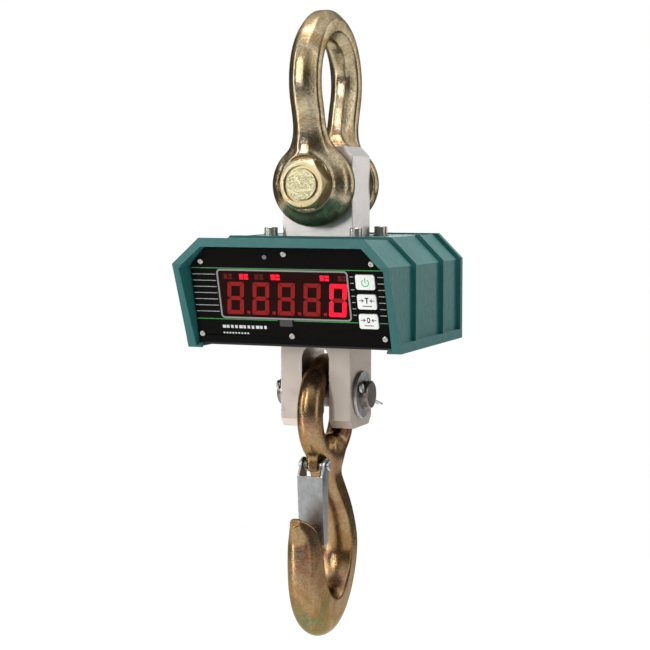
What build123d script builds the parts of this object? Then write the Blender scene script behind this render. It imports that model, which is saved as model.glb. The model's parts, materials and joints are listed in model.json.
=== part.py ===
from build123d import *
import math
import os

# Crane scale: a bow shackle carries a load cell block, a cast hood with the display is
# bolted round the block, and a swinging eye hook with a sprung latch hangs in its clevis.
# Millimetres, +Z up, display facing -Y.  The origin is the inside crown of the bow,
# where the scale is hung.

# ---- shackle -----------------------------------------------------------------------
WIRE_R = 15.9              # bow bar radius
BOW_MEAN_R = 55.5          # centreline radius of the round of the bow
BOLT_R = 17.5              # shackle bolt radius
BOLT_Z = -138.5            # bolt axis below the crown
EAR_Y = 41.5               # centreline of each leg and ear from the middle
EAR_R = 41.0               # outside radius of an ear
EAR_INNER_Y = 25.6         # half of the jaw width
EAR_OUTER_Y = 54.5         # outer face of an ear
LEG_STRAIGHT_Z = BOLT_Z + 23.0   # the legs run straight down from here
EAR_BORE_R = BOLT_R + 0.25
SPOTFACE_R = 27.0          # flat cut for the bolt head and the nut
BOLT_HEAD_FLATS = 44.0
BOLT_HEAD_H = 12.0
NUT_H = 16.0
BOLT_TAIL = 8.0            # thread standing out behind the nut
COTTER_R = 2.5

# ---- load cell block ---------------------------------------------------------------
BLOCK_W = 73.0             # width along X
LUG_T = 49.0               # upper lug thickness along Y
CLEVIS_T = 60.0            # lower clevis thickness along Y
BLOCK_TOP_Z = BOLT_Z + 36.7
LUG_CHAMFER = 9.5
PIN_Z = BOLT_Z - 205.8     # hook pin axis
CLEVIS_BOTTOM_Z = PIN_Z - 31.6
CLEVIS_CHAMFER = 8.3
SLOT_W = 28.6
SLOT_TOP_Z = PIN_Z + 50.4
RUNNING_GAP = 0.08         # radial clearance of a turning pin
GAUGE_POCKET_R = 14.0
GAUGE_POCKET_D = 8.0
GAUGE_Z = BOLT_Z - 110.0

# ---- hood --------------------------------------------------------------------------
HOOD_TOP_Z = BOLT_Z - 49.5
HOOD_TOP_HALF = 83.3       # half width of the flat top
HOOD_HALF = 108.2          # half width at the side rims
HOOD_SLOPE = HOOD_HALF - HOOD_TOP_HALF
HOOD_CORNER_Z = HOOD_TOP_Z - HOOD_SLOPE
VISOR_SIDE_TOP_Z = HOOD_CORNER_Z - 3.0
HOOD_BOTTOM_Z = BOLT_Z - 156.0
HOOD_REAR_Y = 104.6
LIP_TOP_Y = -118.9         # front edge of the visor at the top
LIP_CORNER_Y = -124.2      # and at the upper side corners
LIP_BOTTOM_Y = -89.1       # and at the bottom
RIB_FRONT_Y = -44.3        # middle of the front rib
RIB_REAR_Y = 41.0          # middle of the rear rib
RIB_T = 3.2
REAR_RIM_T = 7.0
POCKET_D = 4.3             # depth of the panels between the ribs
RIM_H = 9.0                # height of the band below the pockets
TOP_DROP = 2.6             # the top falls by this behind the lip of the visor
WALL = 8.8                 # wall thickness measured at the rims
LEDGE = 5.0                # inner ledges that the plates screw to
FRONT_LEDGE_Y = -72.0      # the ledges end here
REAR_LEDGE_Y = 92.0
REAR_SEAT_Y = 97.5         # the rear cover's gasket lies here
FLOOR_TOP_Z = HOOD_BOTTOM_Z + 5.0
FLOOR_T = 2.0

# ---- front panel -------------------------------------------------------------------
PANEL_TILT = 15.5          # the panel looks down by this angle
PANEL_CENTRE_Y = -99.0
PANEL_CENTRE_Z = BOLT_Z - 104.1
PANEL_HALF_W = 97.2
PANEL_TOP_V = 46.8         # heights along the slope of the panel
PANEL_BOTTOM_V = -48.5
PANEL_CUT = 18.2           # corner cut at the top
PANEL_T = 3.0
SEAT = PANEL_T + 1.0       # the hood's seat lies this far behind the face of the panel
PANEL = Plane(origin=(0, PANEL_CENTRE_Y, PANEL_CENTRE_Z), x_dir=(1, 0, 0),
              z_dir=(0, -math.cos(math.radians(PANEL_TILT)), -math.sin(math.radians(PANEL_TILT))))
WINDOW_U0, WINDOW_U1 = -69.4, 60.3
WINDOW_V0, WINDOW_V1 = -21.9, 24.3
WINDOW_CORNER = 2.5
DIGIT_COUNT = 5
DIGIT_PITCH = 25.9
DIGIT_MID_U = -2.3
DIGIT_MID_V = -3.1
KEY_U = 78.3
KEY_VS = {"key_power": 15.5, "key_tare": -3.6, "key_zero": -22.7}
KEY_W, KEY_H, KEY_R = 19.0, 14.6, 2.2
KEY_TRAVEL = 0.6
KEY_GAP = 0.3
KEY_BACK = 4.5             # back of a key's flange behind the face of the panel
IR_U, IR_V, IR_W, IR_H = -5.0, -26.9, 13.0, 7.0
SENSOR_U, SENSOR_V, SENSOR_R = -19.9, 38.0, 2.2
PANEL_SCREWS = [(-85.8, 33.3), (0.0, 41.6), (85.8, 33.3),
                (-93.0, -39.5), (0.0, -39.5), (93.0, -39.5)]
FLOOR_BOSS_SCREW = PANEL_SCREWS[4]   # the lower middle one goes into the floor's flange

# ---- boards and fittings inside ----------------------------------------------------
BOARD_OUT = -14.0          # face of the display board behind the panel's face
BOARD_T = 1.6
BOARD_POSTS = [(-72.5, 23.0), (65.2, 23.8), (-72.5, -29.5), (65.2, -29.5)]
MAIN_BOARD_Y = 76.0
MAIN_BOARD_Z = BOLT_Z - 108.0
MAIN_BOARD_HALF_W, MAIN_BOARD_HALF_H = 66.0, 30.0
POWER_BOARD_Z = FLOOR_TOP_Z + 6.0
BATTERY_H = 66.0
SOCKET_X, SOCKET_Z, SOCKET_R = 80.0, BOLT_Z - 130.0, 8.0

# ---- fasteners on the hood ---------------------------------------------------------
CAP_X, CAP_Y = 44.3, 35.0  # the four screws on top
CAP_R, CAP_H = 6.5, 8.0
COLLAR_T = 12.0
SHOULDER_Z = HOOD_TOP_Z - WALL - COLLAR_T   # the lug grows to the clevis thickness here
TRAY_SCREW_X, TRAY_SCREW_Y = 58.8, 50.0
REAR_SCREWS = [(-60.0, HOOD_TOP_Z - 11.7), (60.0, HOOD_TOP_Z - 11.7),
               (-96.5, HOOD_TOP_Z - 62.0), (96.5, HOOD_TOP_Z - 62.0)]
FLOOR_SCREWS = [(side * 96.7, y) for side in (-1, 1) for y in (-55.0, 10.0, 75.0)]

# ---- hook pin ----------------------------------------------------------------------
PIN_R = 13.8
PIN_HALF = 48.0
WASHER_R = 23.3
WASHER_T = 3.2
SPLIT_PIN_X = 43.6
SPLIT_PIN_R = 2.2
SPLIT_PIN_TILT = 25.0

# ---- hook --------------------------------------------------------------------------
EYE_WIRE_R = 12.6
EYE_MEAN_R = 44.0
EYE_Z = PIN_Z + PIN_R + 0.3 - (EYE_MEAN_R - EYE_WIRE_R)   # the eye hangs on the pin
BOWL_Y = -8.5              # centre of the bowl of the hook
BOWL_Z = PIN_Z - 167.0
HOOK_RIDGE = 0.72          # where the saddle meets the sides, as a share of the half depth
HOOK_SHOULDER = 0.10       # where the sides end behind the middle, as a share of the half depth
HOOK_BACK = 0.90           # width of the back there, as a share of the width at the saddle
LATCH_Y = -31.0            # latch pivot
LATCH_Z = PIN_Z - 68.0
LATCH_W = 26.4
LATCH_T = 2.2
LATCH_EAR_R = 8.0
LATCH_PIN_R = 3.0
LATCH_LUG_W = 10.0
COIL_X = 7.1               # the spring coils start this far from the middle

PARTS = {}
ON_BASE = (Align.CENTER, Align.CENTER, Align.MIN)


def add(name, shape):
    """Keeps a finished piece under its node name."""
    PARTS[name] = shape


def rod(radius, start, end):
    """A round bar between two points."""
    axis = Vector(*end) - Vector(*start)
    return Plane(origin=start, z_dir=axis) * Cylinder(radius, axis.length, align=ON_BASE)


def block(x0, x1, y0, y1, z0, z1):
    """A box between two corners."""
    return Pos((x0 + x1) / 2, (y0 + y1) / 2, (z0 + z1) / 2) * Box(x1 - x0, y1 - y0, z1 - z0)


def prism_along_y(points, y0, y1):
    """An outline of (x, z) points made solid from y0 to y1."""
    face = make_face(Polyline(*[(x, y0, z) for x, z in points], close=True))
    return extrude(face, amount=y1 - y0, dir=(0, 1, 0))


def prism_along_x(points, x0, x1):
    """An outline of (y, z) points made solid from x0 to x1."""
    face = make_face(Polyline(*[(x0, y, z) for y, z in points], close=True))
    return extrude(face, amount=x1 - x0, dir=(1, 0, 0))


def group(shapes):
    """Separate solids that share one node."""
    return Compound(children=[s for shape in shapes for s in shape.solids()])


# ---- shackle -----------------------------------------------------------------------
def bow_path():
    """The centreline of the bow: straight legs, two easy outward bends and the round."""
    round_z = WIRE_R - BOW_MEAN_R
    drop = round_z - LEG_STRAIGHT_Z
    gain = BOW_MEAN_R - EAR_Y
    bend_r = (drop ** 2 / gain - BOW_MEAN_R - EAR_Y) / 2
    reach = BOW_MEAN_R + bend_r
    tangent_y = BOW_MEAN_R * (EAR_Y + bend_r) / reach
    tangent_z = round_z - BOW_MEAN_R * drop / reach
    half_turn = math.asin(drop / reach) / 2
    bend_y = EAR_Y + bend_r - bend_r * math.cos(half_turn)
    bend_z = LEG_STRAIGHT_Z + bend_r * math.sin(half_turn)
    leg_end = BOLT_Z + 12.0
    front = Line((0, -EAR_Y, leg_end), (0, -EAR_Y, LEG_STRAIGHT_Z))
    front_bend = ThreePointArc((0, -EAR_Y, LEG_STRAIGHT_Z), (0, -bend_y, bend_z),
                               (0, -tangent_y, tangent_z))
    crown = ThreePointArc((0, -tangent_y, tangent_z), (0, 0, WIRE_R), (0, tangent_y, tangent_z))
    rear_bend = ThreePointArc((0, tangent_y, tangent_z), (0, bend_y, bend_z),
                              (0, EAR_Y, LEG_STRAIGHT_Z))
    rear = Line((0, EAR_Y, LEG_STRAIGHT_Z), (0, EAR_Y, leg_end))
    return Wire([front, front_bend, crown, rear_bend, rear])


def ear(side):
    """One forged eye: a domed disc with a softened rim, flat where it faces the jaw."""
    mid = EAR_INNER_Y + 11.0
    inner = Line((EAR_INNER_Y, 0), (EAR_INNER_Y, EAR_R - 4.0))
    rim = ThreePointArc((EAR_INNER_Y, EAR_R - 4.0), (mid, EAR_R), (EAR_OUTER_Y - 4.0, EAR_R - 6.5))
    shoulder = Line((EAR_OUTER_Y - 4.0, EAR_R - 6.5), (EAR_OUTER_Y, EAR_R - 13.0))
    outer = Line((EAR_OUTER_Y, EAR_R - 13.0), (EAR_OUTER_Y, 0))
    axis_line = Line((EAR_OUTER_Y, 0), (EAR_INNER_Y, 0))
    outline = Plane.YZ * make_face(Wire([inner, rim, shoulder, outer, axis_line]))
    disc = Pos(0, 0, BOLT_Z) * revolve(outline, Axis.Y)
    return disc if side > 0 else mirror(disc, Plane.XZ)


def shackle_bow():
    path = bow_path()
    section = Plane(origin=path @ 0, z_dir=path % 0) * Circle(WIRE_R)
    bow = sweep(section, path)
    bow = bow + ear(1) + ear(-1)
    for side in (-1, 1):
        bow = bow - rod(SPOTFACE_R, (0, side * EAR_OUTER_Y, BOLT_Z), (0, side * 90, BOLT_Z))
    return bow - rod(EAR_BORE_R, (0, -90, BOLT_Z), (0, 90, BOLT_Z))


def shackle_bolt():
    """Hexagon-head bolt, its head in front and a raised disc inside a ring groove on it."""
    face_y = -EAR_OUTER_Y - 0.05
    head_plane = Plane(origin=(0, face_y, BOLT_Z), x_dir=(1, 0, 0), z_dir=(0, -1, 0))
    flats_r = BOLT_HEAD_FLATS / 2
    hexagon = RegularPolygon(flats_r, 6, major_radius=False, rotation=5)
    head = extrude(head_plane * hexagon, amount=BOLT_HEAD_H)
    cone = head_plane * Cone(flats_r + 12.5, flats_r - 0.5, BOLT_HEAD_H, align=ON_BASE)
    groove = head_plane.offset(BOLT_HEAD_H - 3.0) * Cylinder(18.2, 10, align=ON_BASE)
    core = head_plane.offset(BOLT_HEAD_H - 3.0) * Cylinder(15.0, 2.6, align=ON_BASE)
    head = (head & cone) - groove + core
    shank_end = EAR_OUTER_Y + NUT_H + BOLT_TAIL
    bolt = head + rod(BOLT_R, (0, face_y - 1, BOLT_Z), (0, shank_end, BOLT_Z))
    bolt = chamfer(bolt.edges().filter_by(GeomType.CIRCLE).sort_by(Axis.Y)[-1], 2.0)
    cotter_y = shank_end - BOLT_TAIL / 2
    return bolt - rod(COTTER_R + 0.3, (0, cotter_y, BOLT_Z - 30), (0, cotter_y, BOLT_Z + 30))


def shackle_nut():
    start = Plane(origin=(0, EAR_OUTER_Y + 0.05, BOLT_Z), x_dir=(1, 0, 0), z_dir=(0, 1, 0))
    flats_r = BOLT_HEAD_FLATS / 2
    hexagon = RegularPolygon(flats_r, 6, major_radius=False, rotation=20)
    nut = extrude(start * hexagon, amount=NUT_H - 0.5)
    cone = start * Cone(flats_r + 14.5, flats_r - 0.5, NUT_H - 0.5, align=ON_BASE)
    return (nut & cone) - rod(BOLT_R, (0, 0, BOLT_Z), (0, 100, BOLT_Z))


def split_pin(radius, shaft_len, leg_len, bends, eye_turn):
    """A split pin along +Z: an eye at the bottom, and two legs at the top, each bent along X."""
    ring = Rot(0, 0, eye_turn) * Rot(90, 0, 0) * Torus(radius * 1.5, radius * 0.62)
    eye = Pos(0, 0, -radius * 1.6) * ring
    pin = eye + Cylinder(radius * 0.9, shaft_len, align=ON_BASE)
    for side, bend in zip((-1, 1), bends):
        foot = side * radius * 0.4
        pin = pin + rod(radius * 0.5, (foot, 0, shaft_len - 1.0), (foot + bend, 0, shaft_len + leg_len))
    return pin


def shackle_cotter():
    cotter_y = EAR_OUTER_Y + NUT_H + BOLT_TAIL / 2
    start = Pos(0, cotter_y, BOLT_Z - BOLT_R - 2.0)
    return start * split_pin(COTTER_R, 2 * BOLT_R + 3.0, leg_len=8.0, bends=(-4.0, 4.0), eye_turn=0)


# ---- load cell block ---------------------------------------------------------------
def load_cell_block():
    """One machined block: upper lug, shouldered middle with gauge pockets, lower clevis."""
    half = BLOCK_W / 2
    lug_outline = [(-half, SHOULDER_Z), (half, SHOULDER_Z), (half, BLOCK_TOP_Z - LUG_CHAMFER),
                   (half - LUG_CHAMFER, BLOCK_TOP_Z), (LUG_CHAMFER - half, BLOCK_TOP_Z),
                   (-half, BLOCK_TOP_Z - LUG_CHAMFER)]
    lug = prism_along_y(lug_outline, -LUG_T / 2, LUG_T / 2)
    deep = CLEVIS_T / 2
    low = CLEVIS_BOTTOM_Z + CLEVIS_CHAMFER
    body_outline = [(-deep, SHOULDER_Z), (-deep, low), (CLEVIS_CHAMFER - deep, CLEVIS_BOTTOM_Z),
                    (deep - CLEVIS_CHAMFER, CLEVIS_BOTTOM_Z), (deep, low), (deep, SHOULDER_Z)]
    body = prism_along_x(body_outline, -half, half)
    solid = lug + body
    solid = fillet(solid.edges().filter_by(Axis.Z), 1.0)
    arch_z = SLOT_TOP_Z - SLOT_W / 2
    slot = block(-SLOT_W / 2, SLOT_W / 2, -50, 50, CLEVIS_BOTTOM_Z - 5, arch_z)
    slot = slot + rod(SLOT_W / 2, (0, -50, arch_z), (0, 50, arch_z))
    solid = solid - slot
    solid = solid - rod(BOLT_R + RUNNING_GAP, (0, -50, BOLT_Z), (0, 50, BOLT_Z))
    solid = solid - rod(PIN_R + RUNNING_GAP, (-60, 0, PIN_Z), (60, 0, PIN_Z))
    for side in (-1, 1):
        floor = side * (deep - GAUGE_POCKET_D)
        rebate = side * (deep - 1.6)
        solid = solid - rod(GAUGE_POCKET_R, (0, floor, GAUGE_Z), (0, side * 60, GAUGE_Z))
        solid = solid - rod(GAUGE_POCKET_R + 2.0, (0, rebate, GAUGE_Z), (0, side * 60, GAUGE_Z))
    return solid


def gauge_parts():
    """The strain gauges bonded in the two pockets, and the discs that seal them."""
    deep = CLEVIS_T / 2
    foils = []
    covers = []
    for side in (-1, 1):
        foil_y = side * (deep - GAUGE_POCKET_D + 0.2)
        foils.append(block(-5, 5, foil_y - 0.2, foil_y + 0.2, GAUGE_Z - 4, GAUGE_Z + 4))
        covers.append(rod(GAUGE_POCKET_R + 1.9, (0, side * (deep - 1.6), GAUGE_Z),
                          (0, side * (deep - 0.1), GAUGE_Z)))
    add("strain_gauges", group(foils))
    add("gauge_covers", group(covers))


# ---- hood --------------------------------------------------------------------------
def hood_outline(inset, top_inset=None, bottom_z=HOOD_BOTTOM_Z):
    """The six-sided section of the hood, moved inwards all round."""
    top = HOOD_TOP_Z - (inset if top_inset is None else top_inset)
    half = HOOD_HALF - inset
    line = HOOD_HALF + HOOD_CORNER_Z - inset * math.sqrt(2)
    return [(-half, bottom_z), (-half, line - half), (top - line, top), (line - top, top),
            (half, line - half), (half, bottom_z)]


def panel_outline(grow=0.0):
    """The front panel's outline in its own plane, grown by a margin."""
    half = PANEL_HALF_W + grow
    top = PANEL_TOP_V + grow
    cut = PANEL_CUT + grow * 0.6
    points = [(-half, PANEL_BOTTOM_V - grow), (half, PANEL_BOTTOM_V - grow), (half, top - cut),
              (half - cut, top), (cut - half, top), (-half, top - cut)]
    return make_face(Polyline(*points, close=True))


def hood_prism(inset, y0, y1, top_inset=None, bottom_z=HOOD_BOTTOM_Z):
    return prism_along_y(hood_outline(inset, top_inset, bottom_z), y0, y1)


def hood_section_face(inset, top_inset, y):
    points = [(x, y, z) for x, z in hood_outline(inset, top_inset)]
    return make_face(Polyline(*points, close=True))


def visor_taper():
    """What is cut off the top and the slopes of the visor, which narrows back to the front rib."""
    front_y = LIP_CORNER_Y - 2
    foot_y = RIB_FRONT_Y - RIB_T / 2
    core = loft([hood_section_face(0.0, 0.0, front_y), hood_section_face(POCKET_D, TOP_DROP, foot_y)])
    skin = hood_prism(-1.0, front_y, foot_y) - core
    return skin - block(-150, 150, -200, 200, HOOD_BOTTOM_Z - 5, VISOR_SIDE_TOP_Z)


def visor_side_cut(side):
    """The same taper on a side of the visor, where it starts at the slanting edge of the lip."""
    foot_y = RIB_FRONT_Y - RIB_T / 2
    low_z = HOOD_BOTTOM_Z + RIM_H
    lip_slant = (LIP_BOTTOM_Y - LIP_CORNER_Y) / (HOOD_CORNER_Z - HOOD_BOTTOM_Z)
    low_lip_y = LIP_BOTTOM_Y - lip_slant * RIM_H - 2
    faces = []
    for z, lip_y in ((low_z, low_lip_y), (VISOR_SIDE_TOP_Z, LIP_CORNER_Y - 2)):
        outline = [(side * HOOD_HALF, lip_y, z), (side * (HOOD_HALF - POCKET_D), foot_y, z),
                   (side * (HOOD_HALF + 1.0), foot_y, z), (side * (HOOD_HALF + 1.0), lip_y, z)]
        faces.append(make_face(Polyline(*outline, close=True)))
    return loft(faces, ruled=True)


def rib_pocket(y0, y1):
    """The panels recessed in both sides and both slopes between two ribs."""
    skin = hood_prism(-1.0, y0, y1, top_inset=-1.0) - hood_prism(POCKET_D, y0 - 1, y1 + 1, top_inset=-2.0)
    skin = skin - block(-150, 150, -200, 200, HOOD_BOTTOM_Z - 5, HOOD_BOTTOM_Z + RIM_H)
    return [solid for solid in skin.solids() if abs(solid.center().X) > 20]


def lip_cut():
    """Everything in front of the bent front edge of the visor."""
    below = HOOD_BOTTOM_Z - 20
    above = HOOD_TOP_Z + 20
    outline = [(LIP_TOP_Y, HOOD_TOP_Z), (LIP_CORNER_Y, HOOD_CORNER_Z), (LIP_BOTTOM_Y, HOOD_BOTTOM_Z),
               (LIP_BOTTOM_Y + 8, below), (LIP_CORNER_Y - 40, below), (LIP_CORNER_Y - 40, above),
               (LIP_TOP_Y + 4, above)]
    return prism_along_x(outline, -150, 150)


def panel_hole(u, v, radius, out, depth):
    """A round hole square to the front panel, from a height above it down to a depth."""
    return PANEL * Pos(u, v, -depth) * Cylinder(radius, depth + out, align=ON_BASE)


def hood():
    """Cast hood: visor, ribs with recessed panels between, inner ledges and screw bosses."""
    shell = hood_prism(0.0, LIP_CORNER_Y - 2, HOOD_REAR_Y)
    shell = shell - visor_taper() - visor_side_cut(1) - visor_side_cut(-1)
    rib_half = RIB_T / 2
    top_y0 = RIB_FRONT_Y + rib_half
    top_y1 = HOOD_REAR_Y - REAR_RIM_T
    for y0, y1 in ((top_y0, RIB_REAR_Y - rib_half), (RIB_REAR_Y + rib_half, top_y1)):
        for piece in rib_pocket(y0, y1):
            shell = shell - piece
    shell = shell - block(-78, 78, top_y0, top_y1, HOOD_TOP_Z - 1.5, HOOD_TOP_Z + 5)
    shell = shell - lip_cut()

    deep = HOOD_BOTTOM_Z - 20
    shell = shell - hood_prism(WALL + LEDGE, -160, 130, bottom_z=deep)
    shell = shell - hood_prism(WALL, FRONT_LEDGE_Y, REAR_LEDGE_Y, bottom_z=FLOOR_TOP_Z + 4.0)
    shell = shell - hood_prism(WALL, REAR_SEAT_Y, 130, bottom_z=deep)
    shell = shell - block(WALL - HOOD_HALF, HOOD_HALF - WALL, LIP_BOTTOM_Y + 4, 130, deep, FLOOR_TOP_Z)
    seat_plane = PANEL.offset(-SEAT)
    shell = shell - extrude(seat_plane * panel_outline(0.4), amount=60, taper=-13)

    for u, v in PANEL_SCREWS:
        if (u, v) != FLOOR_BOSS_SCREW:
            shell = shell + panel_hole(u, v, 5.0, -SEAT, SEAT + 13.0)
            shell = shell - panel_hole(u, v, 1.7, 0, SEAT + 10.0)
    for x in (-CAP_X, CAP_X):
        for y in (-CAP_Y, CAP_Y):
            shell = shell - rod(4.2, (x, y, HOOD_TOP_Z - 30), (x, y, HOOD_TOP_Z + 10))
    for x, z in REAR_SCREWS:
        shell = shell - rod(1.25, (x, REAR_LEDGE_Y - 5, z), (x, REAR_SEAT_Y + 1, z))
    for x, y in FLOOR_SCREWS:
        shell = shell - rod(1.25, (x, y, FLOOR_TOP_Z - 1), (x, y, FLOOR_TOP_Z + 10))
    opening_x = BLOCK_W / 2 + 4.0
    opening_y = LUG_T / 2 + 4.0
    shell = shell - block(-opening_x, opening_x, -opening_y, opening_y, HOOD_TOP_Z - 30, HOOD_TOP_Z + 5)
    return shell


def floor_plate():
    """Bottom plate with an upturned front flange behind the lower edge of the panel."""
    half = HOOD_HALF - WALL - 0.3
    low = FLOOR_TOP_Z - FLOOR_T
    front_y = LIP_BOTTOM_Y + 5.0
    plate = block(-half, half, front_y, REAR_SEAT_Y - 0.3, low, FLOOR_TOP_Z - 0.05)
    flange_back = PANEL * Pos(0, PANEL_BOTTOM_V + 5.0, -SEAT - 1.6) * Box(2 * 86.0, 20.0, 3.0)
    boss = panel_hole(*FLOOR_BOSS_SCREW, 5.0, -SEAT - 0.1, SEAT + 11.0)
    below = block(-150, 150, -200, 200, low - 30, low)
    plate = plate + (flange_back - below) + boss
    plate = plate - panel_hole(*FLOOR_BOSS_SCREW, 1.7, 0, SEAT + 9.0)
    opening_x = BLOCK_W / 2 + 4.0
    opening_y = CLEVIS_T / 2 + 4.0
    plate = plate - block(-opening_x, opening_x, -opening_y, opening_y, low - 5, low + 20)
    for x, y in FLOOR_SCREWS:
        plate = plate - rod(1.4, (x, y, low - 5), (x, y, low + 10))
        plate = plate - Pos(x, y, low + 0.8) * Cone(2.3, 1.4, 1.6)
    for x in (-TRAY_SCREW_X, TRAY_SCREW_X):
        for y in (-TRAY_SCREW_Y, TRAY_SCREW_Y):
            plate = plate - rod(2.1, (x, y, low - 5), (x, y, low + 10))
    return plate


def floor_screws():
    low = FLOOR_TOP_Z - FLOOR_T
    screws = []
    for x, y in FLOOR_SCREWS:
        head = Pos(x, y, low + 0.8) * Cone(2.2, 1.2, 1.6)
        screws.append(head + rod(1.2, (x, y, low + 1), (x, y, FLOOR_TOP_Z + 8)))
    return group(screws)


def tray_screws():
    """The pan-head screws under the floor that hold the battery strap and the power board."""
    low = FLOOR_TOP_Z - FLOOR_T
    screws = []
    for x in (-TRAY_SCREW_X, TRAY_SCREW_X):
        for y in (-TRAY_SCREW_Y, TRAY_SCREW_Y):
            head = Pos(x, y, low - 1.3) * Cylinder(3.0, 2.5)
            screws.append(head + rod(1.65, (x, y, low - 1), (x, y, FLOOR_TOP_Z + 6)))
    return group(screws)


def block_gasket(z0, z1, depth):
    """A rubber frame that seals the block where it passes through the hood or the floor."""
    outer_x = BLOCK_W / 2 + 3.9
    outer_y = depth / 2 + 3.9
    inner_x = BLOCK_W / 2 + 0.1
    inner_y = depth / 2 + 0.1
    frame = block(-outer_x, outer_x, -outer_y, outer_y, z0, z1)
    return frame - block(-inner_x, inner_x, -inner_y, inner_y, z0 - 1, z1 + 1)


def mounting_collar():
    """Steel frame that rests on the shoulders of the block and carries the hood."""
    top = HOOD_TOP_Z - WALL - 0.05
    low = SHOULDER_Z + 0.05
    collar = block(-56, 56, -46, 46, low, top)
    inner_x = BLOCK_W / 2 + 0.2
    inner_y = LUG_T / 2 + 0.2
    collar = collar - block(-inner_x, inner_x, -inner_y, inner_y, low - 1, top + 1)
    for x in (-CAP_X, CAP_X):
        for y in (-CAP_Y, CAP_Y):
            collar = collar - rod(4.0, (x, y, low - 1), (x, y, top + 1))
    return fillet(collar.edges().filter_by(Axis.Z).sort_by(lambda e: -abs(e.center().X))[:4], 6.0)


def top_screws():
    """The four socket-head screws that bolt the hood down on the collar."""
    seat_z = HOOD_TOP_Z - 1.5
    screws = []
    for x in (-CAP_X, CAP_X):
        for y in (-CAP_Y, CAP_Y):
            washer = Pos(x, y, seat_z + 0.85) * (Cylinder(7.6, 1.6) - Cylinder(4.2, 3))
            head_low = seat_z + 1.7
            head = rod(CAP_R, (x, y, head_low), (x, y, head_low + CAP_H))
            head = chamfer(head.edges().sort_by(Axis.Z)[-1], 0.6)
            socket = Pos(x, y, head_low + CAP_H - 4.5) * extrude(RegularPolygon(3.4, 6), amount=6)
            shank = rod(3.95, (x, y, SHOULDER_Z + 2), (x, y, head_low + 0.5))
            screws.append(head - socket + shank)
            screws.append(washer)
    return group(screws)


# ---- front panel -------------------------------------------------------------------
def panel_box(u0, u1, v0, v1, out0, out1, corner=0.0):
    """A flat piece parallel to the panel between two heights above its face."""
    outline = Rectangle(u1 - u0, v1 - v0) if corner == 0 else RectangleRounded(u1 - u0, v1 - v0, corner)
    return extrude(PANEL.offset(out0) * Pos((u0 + u1) / 2, (v0 + v1) / 2) * outline, amount=out1 - out0)


def front_panel():
    panel = extrude(PANEL.offset(-PANEL_T) * panel_outline(), amount=PANEL_T)
    panel = panel - panel_box(WINDOW_U0, WINDOW_U1, WINDOW_V0, WINDOW_V1, -9, 9, WINDOW_CORNER)
    hole_w = KEY_W / 2 + KEY_GAP
    hole_h = KEY_H / 2 + KEY_GAP
    for v in KEY_VS.values():
        panel = panel - panel_box(KEY_U - hole_w, KEY_U + hole_w, v - hole_h, v + hole_h, -9, 9,
                                  KEY_R + KEY_GAP)
    ir_w = IR_W / 2
    ir_h = IR_H / 2
    panel = panel - panel_box(IR_U - ir_w, IR_U + ir_w, IR_V - ir_h, IR_V + ir_h, -9, 9, 0.8)
    panel = panel - panel_hole(SENSOR_U, SENSOR_V, SENSOR_R, 5, 9)
    for u, v in PANEL_SCREWS:
        panel = panel - panel_hole(u, v, 2.1, 5, 9)
    return panel


def panel_gasket():
    """Foam frame between the panel and its seat."""
    outer = extrude(PANEL.offset(-SEAT + 0.02) * panel_outline(-0.2), amount=SEAT - PANEL_T - 0.04)
    frame = outer - extrude(PANEL.offset(-SEAT - 1) * panel_outline(-3.4), amount=5)
    for u, v in PANEL_SCREWS:
        frame = frame - panel_hole(u, v, 1.7, 5, 9)
    return frame


def panel_screws():
    """Cross-head screws round the edge of the panel."""
    screws = []
    for u, v in PANEL_SCREWS:
        head = panel_hole(u, v, 2.9, 1.9, -0.05)
        head = fillet(head.edges().filter_by(GeomType.CIRCLE).group_by(Axis.Y)[0], 1.2)
        level = panel_box(u - 1.7, u + 1.7, v - 0.35, v + 0.35, 0.9, 3)
        upright = panel_box(u - 0.35, u + 0.35, v - 1.7, v + 1.7, 0.9, 3)
        screws.append(head - level - upright + panel_hole(u, v, 1.65, 0.1, SEAT + 8.0))
    return group(screws)


def window_box(grow, out0, out1, corner):
    """The outline of the window, grown by a margin, made solid between two heights."""
    return panel_box(WINDOW_U0 - grow, WINDOW_U1 + grow, WINDOW_V0 - grow, WINDOW_V1 + grow,
                     out0, out1, corner)


def window_trim():
    """The pale raised outline round the display window."""
    return window_box(1.5, 0.03, 0.45, WINDOW_CORNER + 1.5) - window_box(-0.1, -1.0, 2.0, WINDOW_CORNER)


def display_window():
    """The tinted window, flush in the panel."""
    return window_box(-0.1, -2.2, -0.2, WINDOW_CORNER)


def display_digits():
    """Five seven-segment modules on the display board."""
    modules = []
    for i in range(DIGIT_COUNT):
        u = DIGIT_MID_U + (i - (DIGIT_COUNT - 1) / 2) * DIGIT_PITCH
        modules.append(panel_box(u - 12.6, u + 12.6, DIGIT_MID_V - 18.3, DIGIT_MID_V + 18.3,
                                 BOARD_OUT + 0.1, -3.2))
    return group(modules)


def indicator_bar():
    """The row of lamps above the digits."""
    return panel_box(-64.0, 58.0, 16.0, 22.5, BOARD_OUT + 0.1, -3.2)


def display_board():
    board = panel_box(-76, 87.5, -33.5, 27.3, BOARD_OUT - BOARD_T, BOARD_OUT)
    for u, v in BOARD_POSTS:
        board = board - panel_hole(u, v, 1.6, 0, 30)
    return board


def board_posts():
    """Spacers between the panel and the display board."""
    return group([panel_hole(u, v, 2.4, -PANEL_T - 0.05, -BOARD_OUT - 0.05) for u, v in BOARD_POSTS])


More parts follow.
